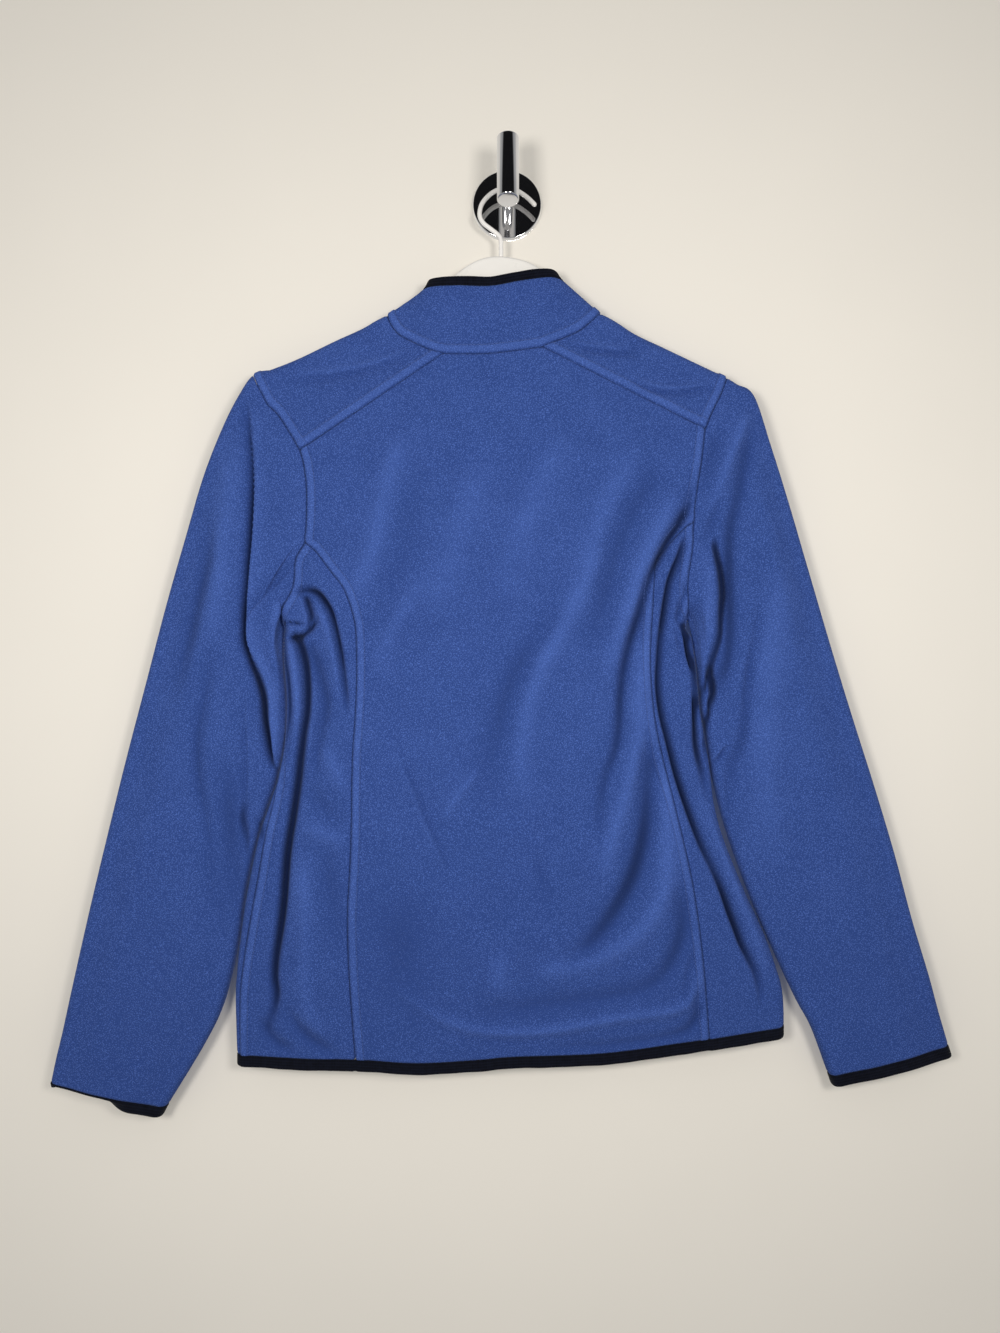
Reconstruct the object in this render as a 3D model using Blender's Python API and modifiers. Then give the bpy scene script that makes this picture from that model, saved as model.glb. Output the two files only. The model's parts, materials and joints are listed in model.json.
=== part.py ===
"""Fleece zip jacket on a hanger and a wall hook, as separate sewn pieces.

Frame: metres, +Z up. The origin is the centre of the wall plate's back face, the wall is the plane Y = 0,
and the jacket hangs on its -Y side with its back towards -Y and its zip towards the wall.
The wearer's left is at -X. Every size below is in millimetres and is turned into metres by MM.

The body is one flattened tube. A place on it is (x, z, sheet): sheet is +1 on the front, which lies against
the wall, and -1 on the back. Each panel is a grid of such places between its own seams.
"""
import math

import bmesh
import bpy
import numpy as np

MM = 0.001

# Cloth and seams
CLOTH = 2.0                 # fleece wall
RIB = 2.4                   # folded knit binding
SEAM_GAP = 0.3              # between two sewn pieces
BINDING_WIDTH = 10.2
COLLAR_BINDING_WIDTH = 8.0
BINDING_GAP = 0.42          # from a straight edge's seam line to its binding
HEM_LENGTHS = ("front_left", "side_left", "back", "side_right", "front_right")
HEM_TURN = 0.34             # share of each front's width that the hem's side length covers
SLEEVE_CLEARANCE = 0.7      # each side of the line where a sleeve lies against the body

# How the flattened body is filled out
EDGE_RADIUS = 9.0           # turn of the cloth at the side edges and over the shoulders
SIDE_RAMP = 80.0            # distance over which the body thickens from its side edges
FRONT, BACK = 1.0, -1.0
UNDERARM_TOP = -340.0       # height below which the armhole seam turns under the arm
UNDERARM_TURN = 35.0        # height over which it turns
SLEEVE_RAMP = 35.0          # distance over which a sleeve thickens from its edges
SLEEVE_CAP = 0.32           # share of a sleeve's length that is drawn from the armhole's form
CAP_SPACING = 1.15          # power that crowds the cap's rings towards the armhole
CAP_LEAVE = (20.0, 200.0)   # pull of the cap's curves away from the armhole: at its ends, and more between them
CAP_ARRIVE = 2.6            # how much shorter their pull is where they run into the arm
CLEAR_FROM, CLEAR_OVER = 0.03, 0.05     # shares of the length where a sleeve comes clear of the body
EDGE_FADE = 14.0            # the folds on the body begin over this distance from its outline

# Left cuff, whose binding is turned in along the outer part
CURL_SHARE = 0.52           # share of the cuff's width
CURL_FADE = 0.20
CURL_ANGLE = math.radians(80)
CURL_SHORT = 0.6            # how much of the binding is lost where it is turned in round the edge

# Zip
ZIP_OPENING = 6.5           # from the centre line to each front edge
CHAIN_HALF = 2.6
CHAIN_THICK = 2.2
TAPE_THICK = 1.0
TAPE_REACH = 14.0
TAPE_START = 3.0
SLIDER_LENGTH = 11.0
SLIDER_HALF = 4.8
SLIDER_PLATE = 1.2
LUG_BAR_RADIUS = 0.75
LUG_BAR_HEIGHT = 2.9        # bar centre above the slider's outer face
TAB_LENGTH = 24.0
TAB_HALF = 2.7
TAB_THICK = 1.5
TAB_EYE_RADIUS = 2.2
TAB_EYE_HALF = 1.6
TAB_NECK = 7.0              # from the eye's centre to the foot of the neck
POST_THICK = 1.0            # each post of the slider's lug
POST_HALF = 1.1
BAR_PLAY = 0.3              # between the bar and the eye, all round
WEDGE_HALF = 1.4
WEDGE_LENGTH = 2.2
CHAIN_PLAY = 0.4            # between the chain and each plate of the slider
FUSE = 0.98                 # a fused piece is this much narrower, so that no faces coincide

# Hanger and wall hook
HANG_Y = -20.0              # plane of the hanger
ARM_CLEARANCE = 1.0         # from the shoulders' inside to the hanger
WIRE_RADIUS = 2.0
PLATE_RADIUS = 30.8
PLATE_THICK = 6.0
PLATE_EDGE = 0.8
PIN_RADIUS = 4.7
PEG_RADIUS = 9.4
PEG_LENGTH = 57.0
PEG_CENTRE = (0.4, -55.0, 6.7)
PEG_LEAN = math.radians(6.0)

# Tables. The first row of each names its columns.
SHOULDER_LINE = [
    ("x", "z"),
    (-340, -215), (-229, -161.5), (-209, -155), (-184, -145), (-152, -129.5), (-128, -118.5),
    (-108, -107.5), (-60, -88), (-11, -78), (38, -88), (86, -107), (113, -123.5), (136, -134.5),
    (159, -145.5), (181, -156), (197, -163.5), (310, -217),
]
BODY_EDGES = [
    ("z", "left", "right"),
    (-100, -330, 290), (-240, -290, 250), (-300, -245, 206), (-340, -213, 174), (-378, -198, 157.5),
    (-416, -197.5, 166), (-452, -195, 170.5), (-480, -196, 175), (-508, -200.5, 180), (-540, -211, 184),
    (-570, -221, 192), (-618, -231, 211), (-650, -236, 226), (-685, -240, 239), (-715, -241.5, 245.5),
    (-780, -239.5, 245.5),
]
BODY_DEPTH = [
    ("drop", "half_depth"),
    (0, 9.0), (30, 10.5), (80, 14.0), (160, 16.5), (300, 17.5), (450, 17.5), (680, 15.5),
]
BODY_MIDDLE = [("z", "y"), (-100, -20.0), (-250, -21.5), (-450, -22.0), (-780, -20.5)]
HEM_BACK = [
    ("x", "z"),
    (-245, -756), (-205, -758), (-174, -759.5), (-132, -761.3), (-79, -765.3), (-24, -762.3), (4, -759.8),
    (70, -757.6), (109, -753.8), (156, -746.8), (180, -743.8), (212, -740.3), (233, -737.5), (250, -734),
]
HEM_FRONT = [("x", "z"), (-245, -756), (-120, -762), (3, -763), (120, -754), (250, -734)]
SIDE_SEAM = [
    ("z", "left", "right"),
    (-760, 8, -10), (-690, 11, -10), (-640, 13, -10), (-590, 13, -10), (-540, 8, -10), (-500, 0, -10),
    (-440, -5, -8), (-370, -6, -4),
]
PRINCESS_LEFT = [
    ("x", "z"),
    (-132.8, -761.2), (-136.3, -717), (-139, -670), (-139.5, -632), (-136.5, -576), (-135.5, -500),
    (-133.5, -469), (-131.8, -434), (-132, -398), (-134, -377), (-142.5, -351.5), (-155.5, -334),
    (-167.5, -318), (-177, -310),
]
PRINCESS_RIGHT = [
    ("x", "z"),
    (177, -744.2), (172.7, -689), (168.8, -650.5), (163.6, -613), (155.7, -575.5), (146, -537),
    (137.4, -501.5), (129.6, -464), (125.5, -416), (128, -369), (130.5, -333), (140, -315),
    (154.5, -298), (163.6, -292),
]
ARMHOLE_BACK_LEFT = [
    ("x", "z", "joins"),
    (-177, -310, "princess"), (-175.3, -287, ""), (-175.5, -262, ""), (-178, -242, ""),
    (-181.5, -229, "yoke"), (-191, -213, ""), (-202, -196.5, ""), (-215, -180, ""),
    (-226, -160.3, "shoulder"),
]
ARMHOLE_BACK_RIGHT = [
    ("x", "z", "joins"),
    (163.6, -292, "princess"), (164.4, -277, ""), (167, -258, ""), (170, -240, ""),
    (173.5, -210, "yoke"), (179, -197, ""), (185, -185, ""), (190, -174, ""),
    (194.5, -162.4, "shoulder"),
]
UNDERARM_LEFT = [("x", "z"), (-197.6, -378), (-190.5, -353), (-186.5, -327), (-177, -310)]
UNDERARM_RIGHT = [("x", "z"), (157.2, -378), (159.3, -355), (161.6, -325), (163.6, -292)]
ARMHOLE_FRONT_LEFT = [
    ("x", "z"),
    (-186, -350), (-173, -312), (-169, -268), (-176, -228), (-197, -192), (-218, -172), (-226, -160.3),
]
ARMHOLE_FRONT_RIGHT = [
    ("x", "z"),
    (152, -350), (145, -312), (142, -268), (149, -228), (168, -194), (186, -174), (194.5, -162.4),
]
NECK_BACK = [
    ("x", "z"),
    (-107, -107), (-98, -123.5), (-82, -133.4), (-67, -140.6), (-56.2, -143.4), (-46, -144),
    (-19, -144), (5, -141.4), (31, -137.6), (53, -128), (69, -118.6), (84, -106.2),
]
NECK_FRONT_LEFT = [("x", "z"), (-20.5, -192), (-55, -185), (-86, -165), (-102, -135), (-107, -107)]
NECK_FRONT_RIGHT = [("x", "z"), (-7.5, -192), (31, -185), (62, -163), (78, -132), (84, -106.2)]
YOKE_JOIN_LEFT = (-56.2, -143.4)
YOKE_JOIN_RIGHT = (31.0, -137.6)
CENTRE_FRONT = [("z", "x"), (-765, 3), (-192, -14)]
SLEEVE_LEFT = [
    ("along", "outer_x", "outer_z", "inner_x", "inner_z", "half_depth"),
    (0.00, -226, -160.3, -197.3, -378, 13), (0.03, -233, -170, -199.8, -378.2, 14),
    (0.09, -249, -200, -199.6, -392, 15.5), (0.16, -268, -247, -199.0, -407, 16.5),
    (0.24, -284, -300, -197.8, -424, 17), (0.32, -302, -362, -195.9, -450, 17),
    (0.42, -320, -431, -197.2, -484, 16.5), (0.52, -338, -500, -205.2, -521, 16),
    (0.62, -354, -565, -218.9, -562, 15.5), (0.72, -370, -632, -231, -614, 15),
    (0.82, -384, -694, -239.8, -672, 14), (0.90, -394, -740, -252, -720, 13.5),
    (0.95, -400, -765, -270, -757, 13), (1.00, -404.5, -786, -301, -805, 12.5),
]
SLEEVE_RIGHT = [
    ("along", "outer_x", "outer_z", "inner_x", "inner_z", "half_depth"),
    (0.00, 194.5, -162.4, 156.8, -378, 13), (0.03, 203, -168, 160.8, -378.2, 14),
    (0.09, 218, -178, 163.8, -394, 15.5), (0.16, 233, -222, 166.4, -410, 16.5),
    (0.24, 250, -275, 169.1, -430, 17), (0.32, 267, -332, 171.8, -456, 17),
    (0.42, 287, -400, 177.1, -488, 16.5), (0.52, 306, -462, 182.2, -520, 16),
    (0.62, 325, -522, 193, -562, 15.5), (0.72, 343, -582, 213, -618, 15),
    (0.82, 359, -642, 238, -676, 14), (0.90, 374, -692, 257, -716, 13.5),
    (0.95, 382, -722, 270, -740, 13), (1.00, 391, -753, 285, -778, 12.5),
]
COLLAR_TOP = [
    ("round", "x", "y", "z"),
    (0.00, -20.5, -10.5, -134), (0.12, -52, -10.5, -112), (0.22, -71, -12, -92.5), (0.28, -75.5, -20, -85),
    (0.34, -69, -28.5, -83.3), (0.42, -45, -34, -84), (0.50, -15, -35, -84.8), (0.58, 12, -34.5, -80),
    (0.66, 40, -30, -75.3), (0.72, 51.5, -20, -77.5), (0.78, 47, -12, -87), (0.88, 28, -10.5, -110),
    (1.00, -7.5, -10.5, -134),
]
HANGER_HUMP = [
    ("x", "top", "bottom"),
    (-124, -122.5, -137), (-108, -119.5, -132), (-92, -117, -127), (-76, -114, -122),
    (-62, -107, -117), (-55, -92, -112), (-52, -79, -108), (-45, -69.3, -105), (-32, -60, -101),
    (-19, -54.8, -98), (-7, -53.7, -98), (6, -55.2, -98), (19, -59, -98), (30, -65.6, -100),
    (36.5, -76, -104), (39, -91, -110), (47, -108, -115), (60, -115, -122), (78, -118, -129),
    (92, -120.5, -134), (106, -124.5, -138),
]
HANGER_ENDS = (-217.0, 186.0)
ARM_HEIGHT = 14.0
ARM_HALF_THICK = 4.2
ARM_ROUNDING = 3.0
CORNER_STEPS = 2
HOOK_WIRE = [
    ("x", "z"),
    (-5.5, -53.5), (-5.5, -46), (-5.7, -38.5), (-7.8, -34.4), (-14, -29.3), (-20.5, -24.3), (-24, -19),
    (-24.4, -13), (-22.4, -6.4), (-18, -0.6), (-12, 4.2), (-4.5, 7.0), (3, 7.0), (10, 4.6), (17, 0),
    (22, -4.6), (25.6, -8.4),
]
# Largest folds: a ridge stands out towards the viewer by its height, a trough sinks in (negative height).
FOLDS = [
    ("name", "height", "half_width", "places"),
    ("left side valley", -7.5, 12, [(-176, -400), (-182, -500), (-190, -590), (-204, -690)]),
    ("left side roll", 5.5, 15, [(-150, -385), (-156, -480), (-160, -600), (-168, -700)]),
    ("left underarm pleat", -6.0, 11, [(-184, -352), (-168, -378), (-158, -440), (-158, -500)]),
    ("right side valley", -8.0, 12, [(152, -325), (143, -372), (141, -425), (150, -500), (170, -575),
                                     (198, -650), (216, -715)]),
    ("right side roll", 5.0, 12, [(150, -372), (155, -430), (164, -505), (187, -585), (212, -660)]),
    ("right back swell", 5.5, 20, [(146, -300), (120, -350), (104, -410), (98, -470), (112, -570)]),
    ("right hem fall", -5.0, 22, [(150, -560), (128, -640), (92, -700)]),
    ("left sleeve crease", -6.5, 13, [(-240, -190), (-231, -270), (-232, -340), (-226, -410), (-212, -480)]),
    ("left sleeve roll", 4.5, 14, [(-256, -260), (-254, -340), (-246, -420), (-232, -500)]),
    ("right sleeve crease", -6.5, 13, [(186, -330), (190, -380), (188, -440), (190, -500)]),
    ("right sleeve soft fold", -5.5, 18, [(218, -360), (212, -430), (208, -480), (204, -560)]),
]
FOLD_FADE = 45.0            # a fold dies away over this length at both ends

# Grid counts
SIDE_ROWS = 12              # hem to underarm
YOKE_STEPS = (0, .03, .06, .095, .14, .22, .34, .48, .64, .82, 1)
SIDE_STEPS = (0, .07, .16, .28, .42, .57, .72, .87, 1)
BACK_COLUMNS = 18
ARMHOLE_ROWS = 4            # princess seam to yoke seam
SHOULDER_TURN = (-14.1, -9.4, -4.7, 0.0, 4.7, 9.4, 14.1)
FRONT_CHEST_ROWS = 4        # underarm to the front neck
FRONT_NECK_ROWS = 3         # front neck to the shoulder turn
OVER_SHOULDER_ROWS = 4      # shoulder turn to the yoke seam
CAP_RINGS = 8
ARM_RINGS = 11
COLLAR_ROWS = (0, .22, .48, .74, 1)
BINDING_ROWS = (0, .35, .7, 1)


def column(table, name):
    """One named column of a table as an array."""
    return np.array([row[table[0].index(name)] for row in table[1:]], float)


def smooth(value):
    """Smooth step from 0 to 1."""
    value = np.clip(value, 0, 1)
    return value * value * (3 - 2 * value)


def spline(points, per_step=12):
    """A dense Catmull-Rom curve through points, an array with a row per point."""
    points = np.asarray(points, float)
    padded = np.vstack([2 * points[0] - points[1], points, 2 * points[-1] - points[-2]])
    step = (np.arange(per_step) / per_step)[:, None]
    pieces = []
    for before, start, end, after in zip(padded, padded[1:], padded[2:], padded[3:]):
        pieces.append(0.5 * (2 * start + (end - before) * step
                             + (2 * before - 5 * start + 4 * end - after) * step ** 2
                             + (3 * start - before - 3 * end + after) * step ** 3))
    return np.vstack(pieces + [points[-1:]])


def lengths(points):
    """Distance along a curve at each of its points."""
    return np.concatenate([[0], np.cumsum(np.linalg.norm(np.diff(points, axis=0), axis=1))])


def along(curve, distances):
    """Places on a dense curve at given distances along it."""
    measured = lengths(curve)
    return np.column_stack([np.interp(distances, measured, values) for values in curve.T])


def divide(curve, steps):
    """Places on a dense curve at fractions of its length, or at a number of equal steps."""
    fractions = np.linspace(0, 1, steps + 1) if isinstance(steps, int) else np.asarray(steps)
    return along(curve, fractions * lengths(curve)[-1])


def smooth_table(table, key, value):
    """A smooth function through two columns of a table."""
    curve = spline(np.column_stack([column(table, key), column(table, value)]))
    order = np.argsort(curve[:, 0])
    return lambda wanted: np.interp(wanted, curve[order, 0], curve[order, 1])


shoulder_line = smooth_table(SHOULDER_LINE, "x", "z")
left_edge = smooth_table(BODY_EDGES, "z", "left")
right_edge = smooth_table(BODY_EDGES, "z", "right")
core_depth = smooth_table(BODY_DEPTH, "drop", "half_depth")
middle = smooth_table(BODY_MIDDLE, "z", "y")
hem_back = smooth_table(HEM_BACK, "x", "z")
hem_front = smooth_table(HEM_FRONT, "x", "z")
centre_front = smooth_table(CENTRE_FRONT, "z", "x")

LEFT = {
    "name": "left", "sign": 1.0, "edge": left_edge, "princess": PRINCESS_LEFT,
    "armhole_back": ARMHOLE_BACK_LEFT, "underarm": UNDERARM_LEFT, "armhole_front": ARMHOLE_FRONT_LEFT,
    "neck_front": NECK_FRONT_LEFT, "yoke_join": YOKE_JOIN_LEFT, "sleeve": SLEEVE_LEFT,
    "seam": smooth_table(SIDE_SEAM, "z", "left"),
}
RIGHT = {
    "name": "right", "sign": -1.0, "edge": right_edge, "princess": PRINCESS_RIGHT,
    "armhole_back": ARMHOLE_BACK_RIGHT, "underarm": UNDERARM_RIGHT, "armhole_front": ARMHOLE_FRONT_RIGHT,
    "neck_front": NECK_FRONT_RIGHT, "yoke_join": YOKE_JOIN_RIGHT, "sleeve": SLEEVE_RIGHT,
    "seam": smooth_table(SIDE_SEAM, "z", "right"),
}


# The body's form

def square_half_depth(x, z):
    """Square of the body's half depth; it falls to nothing at the outline as a round turn."""
    drop = shoulder_line(x) - z
    side = np.minimum(x - left_edge(z), right_edge(z) - x) - SLEEVE_CLEARANCE
    near = np.minimum(drop, side)
    full = EDGE_RADIUS + (core_depth(drop) - EDGE_RADIUS) * smooth((side - EDGE_RADIUS) / SIDE_RAMP)
    turn = np.minimum(2 * EDGE_RADIUS * near - near ** 2, EDGE_RADIUS ** 2)
    return np.where(near < EDGE_RADIUS, turn * (full / EDGE_RADIUS) ** 2, full ** 2)


def fold_height(x, z):
    """Height of the folds at each place, added up over the rows of the table."""
    total = np.zeros_like(x)
    for height, half_width, places in [row[1:] for row in FOLDS[1:]]:
        route = spline(places, 6)
        distance = np.hypot(x[..., None] - route[:, 0], z[..., None] - route[:, 1])
        nearest = distance.argmin(-1)
        run = lengths(route)
        fade = smooth(run / FOLD_FADE) * smooth((run[-1] - run) / FOLD_FADE)
        total += height * fade[nearest] * np.exp(-(distance.min(-1) / half_width) ** 2)
    return total


def place(places):
    """Points and outward normals of places (x, z, sheet) on the body."""
    x, z, sheet = places[..., 0], places[..., 1], places[..., 2]
    step = 0.5

    def folds(x, z):
        edge = np.minimum(x - left_edge(z), right_edge(z) - x)
        near = np.minimum(edge, shoulder_line(x) - z)
        return np.where(sheet < 0, fold_height(x, z) * smooth((near - CLOTH) / EDGE_FADE), 0)

    half = np.sqrt(np.maximum(square_half_depth(x, z), 0))
    y = middle(z) + sheet * (half + folds(x, z))
    slope = []
    for along_x, along_z in ((step, 0), (0, step)):
        square = square_half_depth(x + along_x, z + along_z) - square_half_depth(x - along_x, z - along_z)
        fold = folds(x + along_x, z + along_z) - folds(x - along_x, z - along_z)
        slope.append((square + 2 * half * fold) / (2 * step))
    normals = np.stack([-slope[0], 2 * half * sheet, -slope[1]], -1)
    normals /= np.linalg.norm(normals, axis=-1, keepdims=True)
    return np.stack([x, y, z], -1), normals


def unroll(depth):
    """Distance over the cloth from an edge to a place this far inside the outline."""
    turned = np.arccos(np.clip(1 - depth / EDGE_RADIUS, -1, 1)) * EDGE_RADIUS
    quarter = EDGE_RADIUS * math.pi / 2
    return np.where(depth < EDGE_RADIUS, turned, depth - EDGE_RADIUS + quarter)


def roll(distance):
    """How far inside the outline a place lies, from its distance over the cloth, and which sheet it is on."""
    quarter = EDGE_RADIUS * math.pi / 2
    turned = np.minimum(np.abs(distance) / EDGE_RADIUS, math.pi / 2)
    depth = EDGE_RADIUS * (1 - np.cos(turned)) + np.maximum(np.abs(distance) - quarter, 0)
    return depth, np.where(distance >= 0, FRONT, BACK)


TURN_SPARE = EDGE_RADIUS * (math.pi / 2 - 1)      # cloth used by a turn beyond its width


def flat_height(x, z, sheet):
    """Height of a place in the flat front pattern, which carries on over the shoulder."""
    return shoulder_line(x) + TURN_SPARE - sheet * unroll(shoulder_line(x) - z)


def from_front_pattern(side, across, height):
    """Places of a flat front pattern wrapped round the side edge and over the shoulder."""
    edge = side["edge"](height) + side["sign"] * SLEEVE_CLEARANCE
    inward, side_sheet = roll(side["sign"] * (across - edge) + TURN_SPARE)
    x = edge + side["sign"] * inward
    drop, top_sheet = roll(shoulder_line(x) + TURN_SPARE - height)
    z = np.where(drop > EDGE_RADIUS, np.where(top_sheet > 0, height, shoulder_line(x) - drop),
                 shoulder_line(x) - drop)
    return np.stack([x, z, np.minimum(side_sheet, top_sheet)], -1)


def from_edge(side, distance, z):
    """Places on the body at a distance over the cloth from the side edge; positive is on the back."""
    inward, sheet = roll(-distance)
    x = side["edge"](z) + side["sign"] * (SLEEVE_CLEARANCE + inward)
    return np.stack([x, z, sheet], -1)


def edge_distance(side, x, z):
    """Distance over the back from the side edge to a place on the back."""
    return unroll(side["sign"] * (x - side["edge"](z)) - SLEEVE_CLEARANCE)


# Grids and walls

def patch(left, right, bottom, top):
    """Coons patch: a grid between four sampled boundary curves that share their corners."""
    rise = (lengths(left) / lengths(left)[-1] + lengths(right) / lengths(right)[-1])[:, None, None] / 2
    run = (lengths(bottom) / lengths(bottom)[-1] + lengths(top) / lengths(top)[-1])[None, :, None] / 2
    between_sides = left[:, None] * (1 - run) + right[:, None] * run
    between_ends = bottom[None] * (1 - rise) + top[None] * rise
    corners = ((bottom[0] * (1 - run) + bottom[-1] * run) * (1 - rise)
               + (top[0] * (1 - run) + top[-1] * run) * rise)
    return between_sides + between_ends - corners


def grid_normals(points, closed):
    """Unit normals of a grid by central differences; closed grids wrap round in their columns."""
    if closed:
        ring = np.roll(points, -1, 1) - np.roll(points, 1, 1)
    else:
        ring = np.gradient(points, axis=1)
    normals = np.cross(ring, np.gradient(points, axis=0))
    return normals / np.linalg.norm(normals, axis=-1, keepdims=True)


def draw_in(points, gap, closed=False, far_end=True):
    """Move a grid's border in from its seams, square to each seam."""
    moved = points.copy()
    borders = [(points[0], points[1], moved[0])]
    if far_end:
        borders.append((points[-1], points[-2], moved[-1]))
    if not closed:
        borders += [(points[:, 0], points[:, 1], moved[:, 0]), (points[:, -1], points[:, -2], moved[:, -1])]
    for border, inside, target in borders:
        if closed:
            tangent = np.roll(border, -1, 0) - np.roll(border, 1, 0)
        else:
            tangent = np.gradient(border, axis=0)
        tangent /= np.linalg.norm(tangent, axis=-1, keepdims=True)
        inward = inside - border
        inward -= (inward * tangent).sum(-1, keepdims=True) * tangent
        target += gap * inward / np.linalg.norm(inward, axis=-1, keepdims=True)
    return moved


def solid(name, vertices, faces, look):
    """A smooth closed mesh whose faces point out."""
    mesh = bpy.data.meshes.new(name)
    mesh.from_pydata(vertices.tolist(), [], faces)
    tidy = bmesh.new()
    tidy.from_mesh(mesh)
    bmesh.ops.recalc_face_normals(tidy, faces=tidy.faces)
    tidy.to_mesh(mesh)
    tidy.free()
    return finish(bpy.data.objects.new(name, mesh), look, smooth_faces=True)


def loft(name, rings, look):
    """A solid through closed rings, with flat ends."""
    index = np.arange(rings.shape[0] * rings.shape[1]).reshape(rings.shape[:2])
    index = np.concatenate([index, index[:, :1]], 1)
    sides = np.stack([index[:-1, :-1], index[:-1, 1:], index[1:, 1:], index[1:, :-1]], -1).reshape(-1, 4)
    ends = [index[0, :-1].tolist(), index[-1, :-1].tolist()]
    return solid(name, rings.reshape(-1, 3) * MM, sides.tolist() + ends, look)


def wall(name, outer, inner, look, closed=False):
    """A closed wall between an outer and an inner grid of the same size."""
    rows, columns = outer.shape[:2]
    vertices = np.concatenate([outer.reshape(-1, 3), inner.reshape(-1, 3)]) * MM
    index = np.arange(2 * rows * columns).reshape(2, rows, columns)
    if closed:
        index = np.concatenate([index, index[:, :, :1]], 2)
    faces = []
    for layer, flip in ((index[0], False), (index[1], True)):
        quads = np.stack([layer[:-1, :-1], layer[:-1, 1:], layer[1:, 1:], layer[1:, :-1]], -1).reshape(-1, 4)
        faces.append(quads[:, ::-1] if flip else quads)
    rims = [(index[:, 0], True), (index[:, -1], False)]
    if not closed:
        rims += [(index[:, :, 0], False), (index[:, :, -1], True)]
    for rim, flip in rims:
        quads = np.stack([rim[0, :-1], rim[0, 1:], rim[1, 1:], rim[1, :-1]], -1)
        faces.append(quads[:, ::-1] if flip else quads)
    return solid(name, vertices, np.concatenate(faces).tolist(), look)


def cloth_wall(name, points, normals, look, closed=False):
    """A cloth piece: its outer grid drawn in from the seams, its inner grid one cloth thickness below."""
    outer = draw_in(points, SEAM_GAP / 2, closed)
    return wall(name, outer, outer - CLOTH * normals, look, closed)


# Materials and finishing

def material(name, colour, roughness, metallic=0.0):
    """A plain Principled material."""
    look = bpy.data.materials.new(name)
    look.use_nodes = True
    shader = look.node_tree.nodes["Principled BSDF"]
    shader.inputs["Base Color"].default_value = (*colour, 1.0)
    shader.inputs["Roughness"].default_value = roughness
    shader.inputs["Metallic"].default_value = metallic
    look.diffuse_color = (*colour, 1.0)
    return look


FLEECE = ((0.040, 0.100, 0.360), 0.9)
NAVY = ((0.004, 0.006, 0.018), 0.85)
TAPE = ((0.030, 0.075, 0.270), 0.8)
ZIP_METAL = ((0.05, 0.05, 0.06), 0.4)
WHITE_PLASTIC = ((0.80, 0.80, 0.78), 0.35)
WHITE_WIRE = ((0.78, 0.78, 0.76), 0.4)
CHROME = ((0.62, 0.62, 0.63), 0.08, 1.0)


def finish(piece, look, smooth_faces=False):
    """Link a piece, give it a material of its own and set its shading."""
    if piece.name not in jacket.objects:
        for owner in list(piece.users_collection):
            owner.objects.unlink(piece)
        jacket.objects.link(piece)
    piece.data.materials.clear()
    piece.data.materials.append(material(piece.name + "_finish", *look))
    if smooth_faces:
        piece.data.polygons.foreach_set("use_smooth", [True] * len(piece.data.polygons))
    return piece


# Seams, as sampled places shared by the pieces on both sides

def back_places(curve):
    """Places on the back sheet from an (x, z) curve."""
    return np.column_stack([curve, np.full(len(curve), BACK)])


def xz(table):
    """The x and z columns of a table as points."""
    return np.column_stack([column(table, "x"), column(table, "z")])


def princess_samples(side):
    return divide(spline(xz(side["princess"])), SIDE_ROWS)


def back_armhole_samples(side):
    """From the princess seam to the yoke seam."""
    table = side["armhole_back"]
    yoke = [row[2] for row in table[1:]].index("yoke")
    return divide(spline(xz(table)[:yoke + 1]), ARMHOLE_ROWS)


def underarm_samples(side):
    """From the side seam to the princess seam, as distances from the edge and heights."""
    points = xz(side["underarm"])
    flat = np.column_stack([edge_distance(side, points[:, 0], points[:, 1]), points[:, 1]])
    flat[0, 0] = side["seam"](points[0, 1])
    return divide(spline(flat), SIDE_STEPS)


def side_seam_samples(side):
    """From the hem to the underarm, as distances from the edge and heights."""
    low = HEM_BACK[1][1] if side is LEFT else HEM_BACK[-1][1]
    heights = np.linspace(low, side["underarm"][1][1], SIDE_ROWS + 1)
    return np.column_stack([side["seam"](heights), heights])


def yoke_samples(side):
    """From the armhole to the neck."""
    start = next(row[:2] for row in side["armhole_back"][1:] if row[2] == "yoke")
    return divide(np.array([start, side["yoke_join"]], float), YOKE_STEPS)


def turn_marks(curve):
    """Distances along a flat pattern curve at which it passes the steps of the shoulder turn."""
    above = curve[:, 1] - shoulder_line(curve[:, 0]) - TURN_SPARE
    start = np.argmax(above > SHOULDER_TURN[0] - 20)
    return np.interp(SHOULDER_TURN, above[start:], lengths(curve)[start:])


def over_shoulder(points_front, points_back, rows_before, rows_after):
    """A boundary of the front: up the front, over the shoulder and down the back, in the flat pattern."""
    front = np.column_stack([points_front[:, 0], flat_height(*points_front.T, FRONT)])
    back = np.column_stack([points_back[:, 0], flat_height(*points_back.T, BACK)])
    curve = spline(np.vstack([front, back]))
    marks = turn_marks(curve)
    total = lengths(curve)[-1]
    before = np.linspace(0, marks[0], rows_before + 1)[:-1]
    after = np.linspace(marks[-1], total, rows_after + 1)[1:]
    return along(curve, np.concatenate([before, marks, after]))


def front_outer_boundary(side):
    """Side seam, front armhole and the top of the back armhole, in the flat front pattern."""
    seam = side_seam_samples(side)
    edge = side["edge"](seam[:, 1]) + side["sign"] * SLEEVE_CLEARANCE
    low = np.column_stack([edge + side["sign"] * (-seam[:, 0] - TURN_SPARE), seam[:, 1]])
    table = side["armhole_back"]
    yoke = [row[2] for row in table[1:]].index("yoke")
    down_back = xz(table)[yoke:-1][::-1]
    up_front = np.vstack([low[-1:], xz(side["armhole_front"])])
    high = over_shoulder(up_front, down_back, FRONT_CHEST_ROWS + FRONT_NECK_ROWS, OVER_SHOULDER_ROWS)
    return np.vstack([low, high[1:]])


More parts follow.
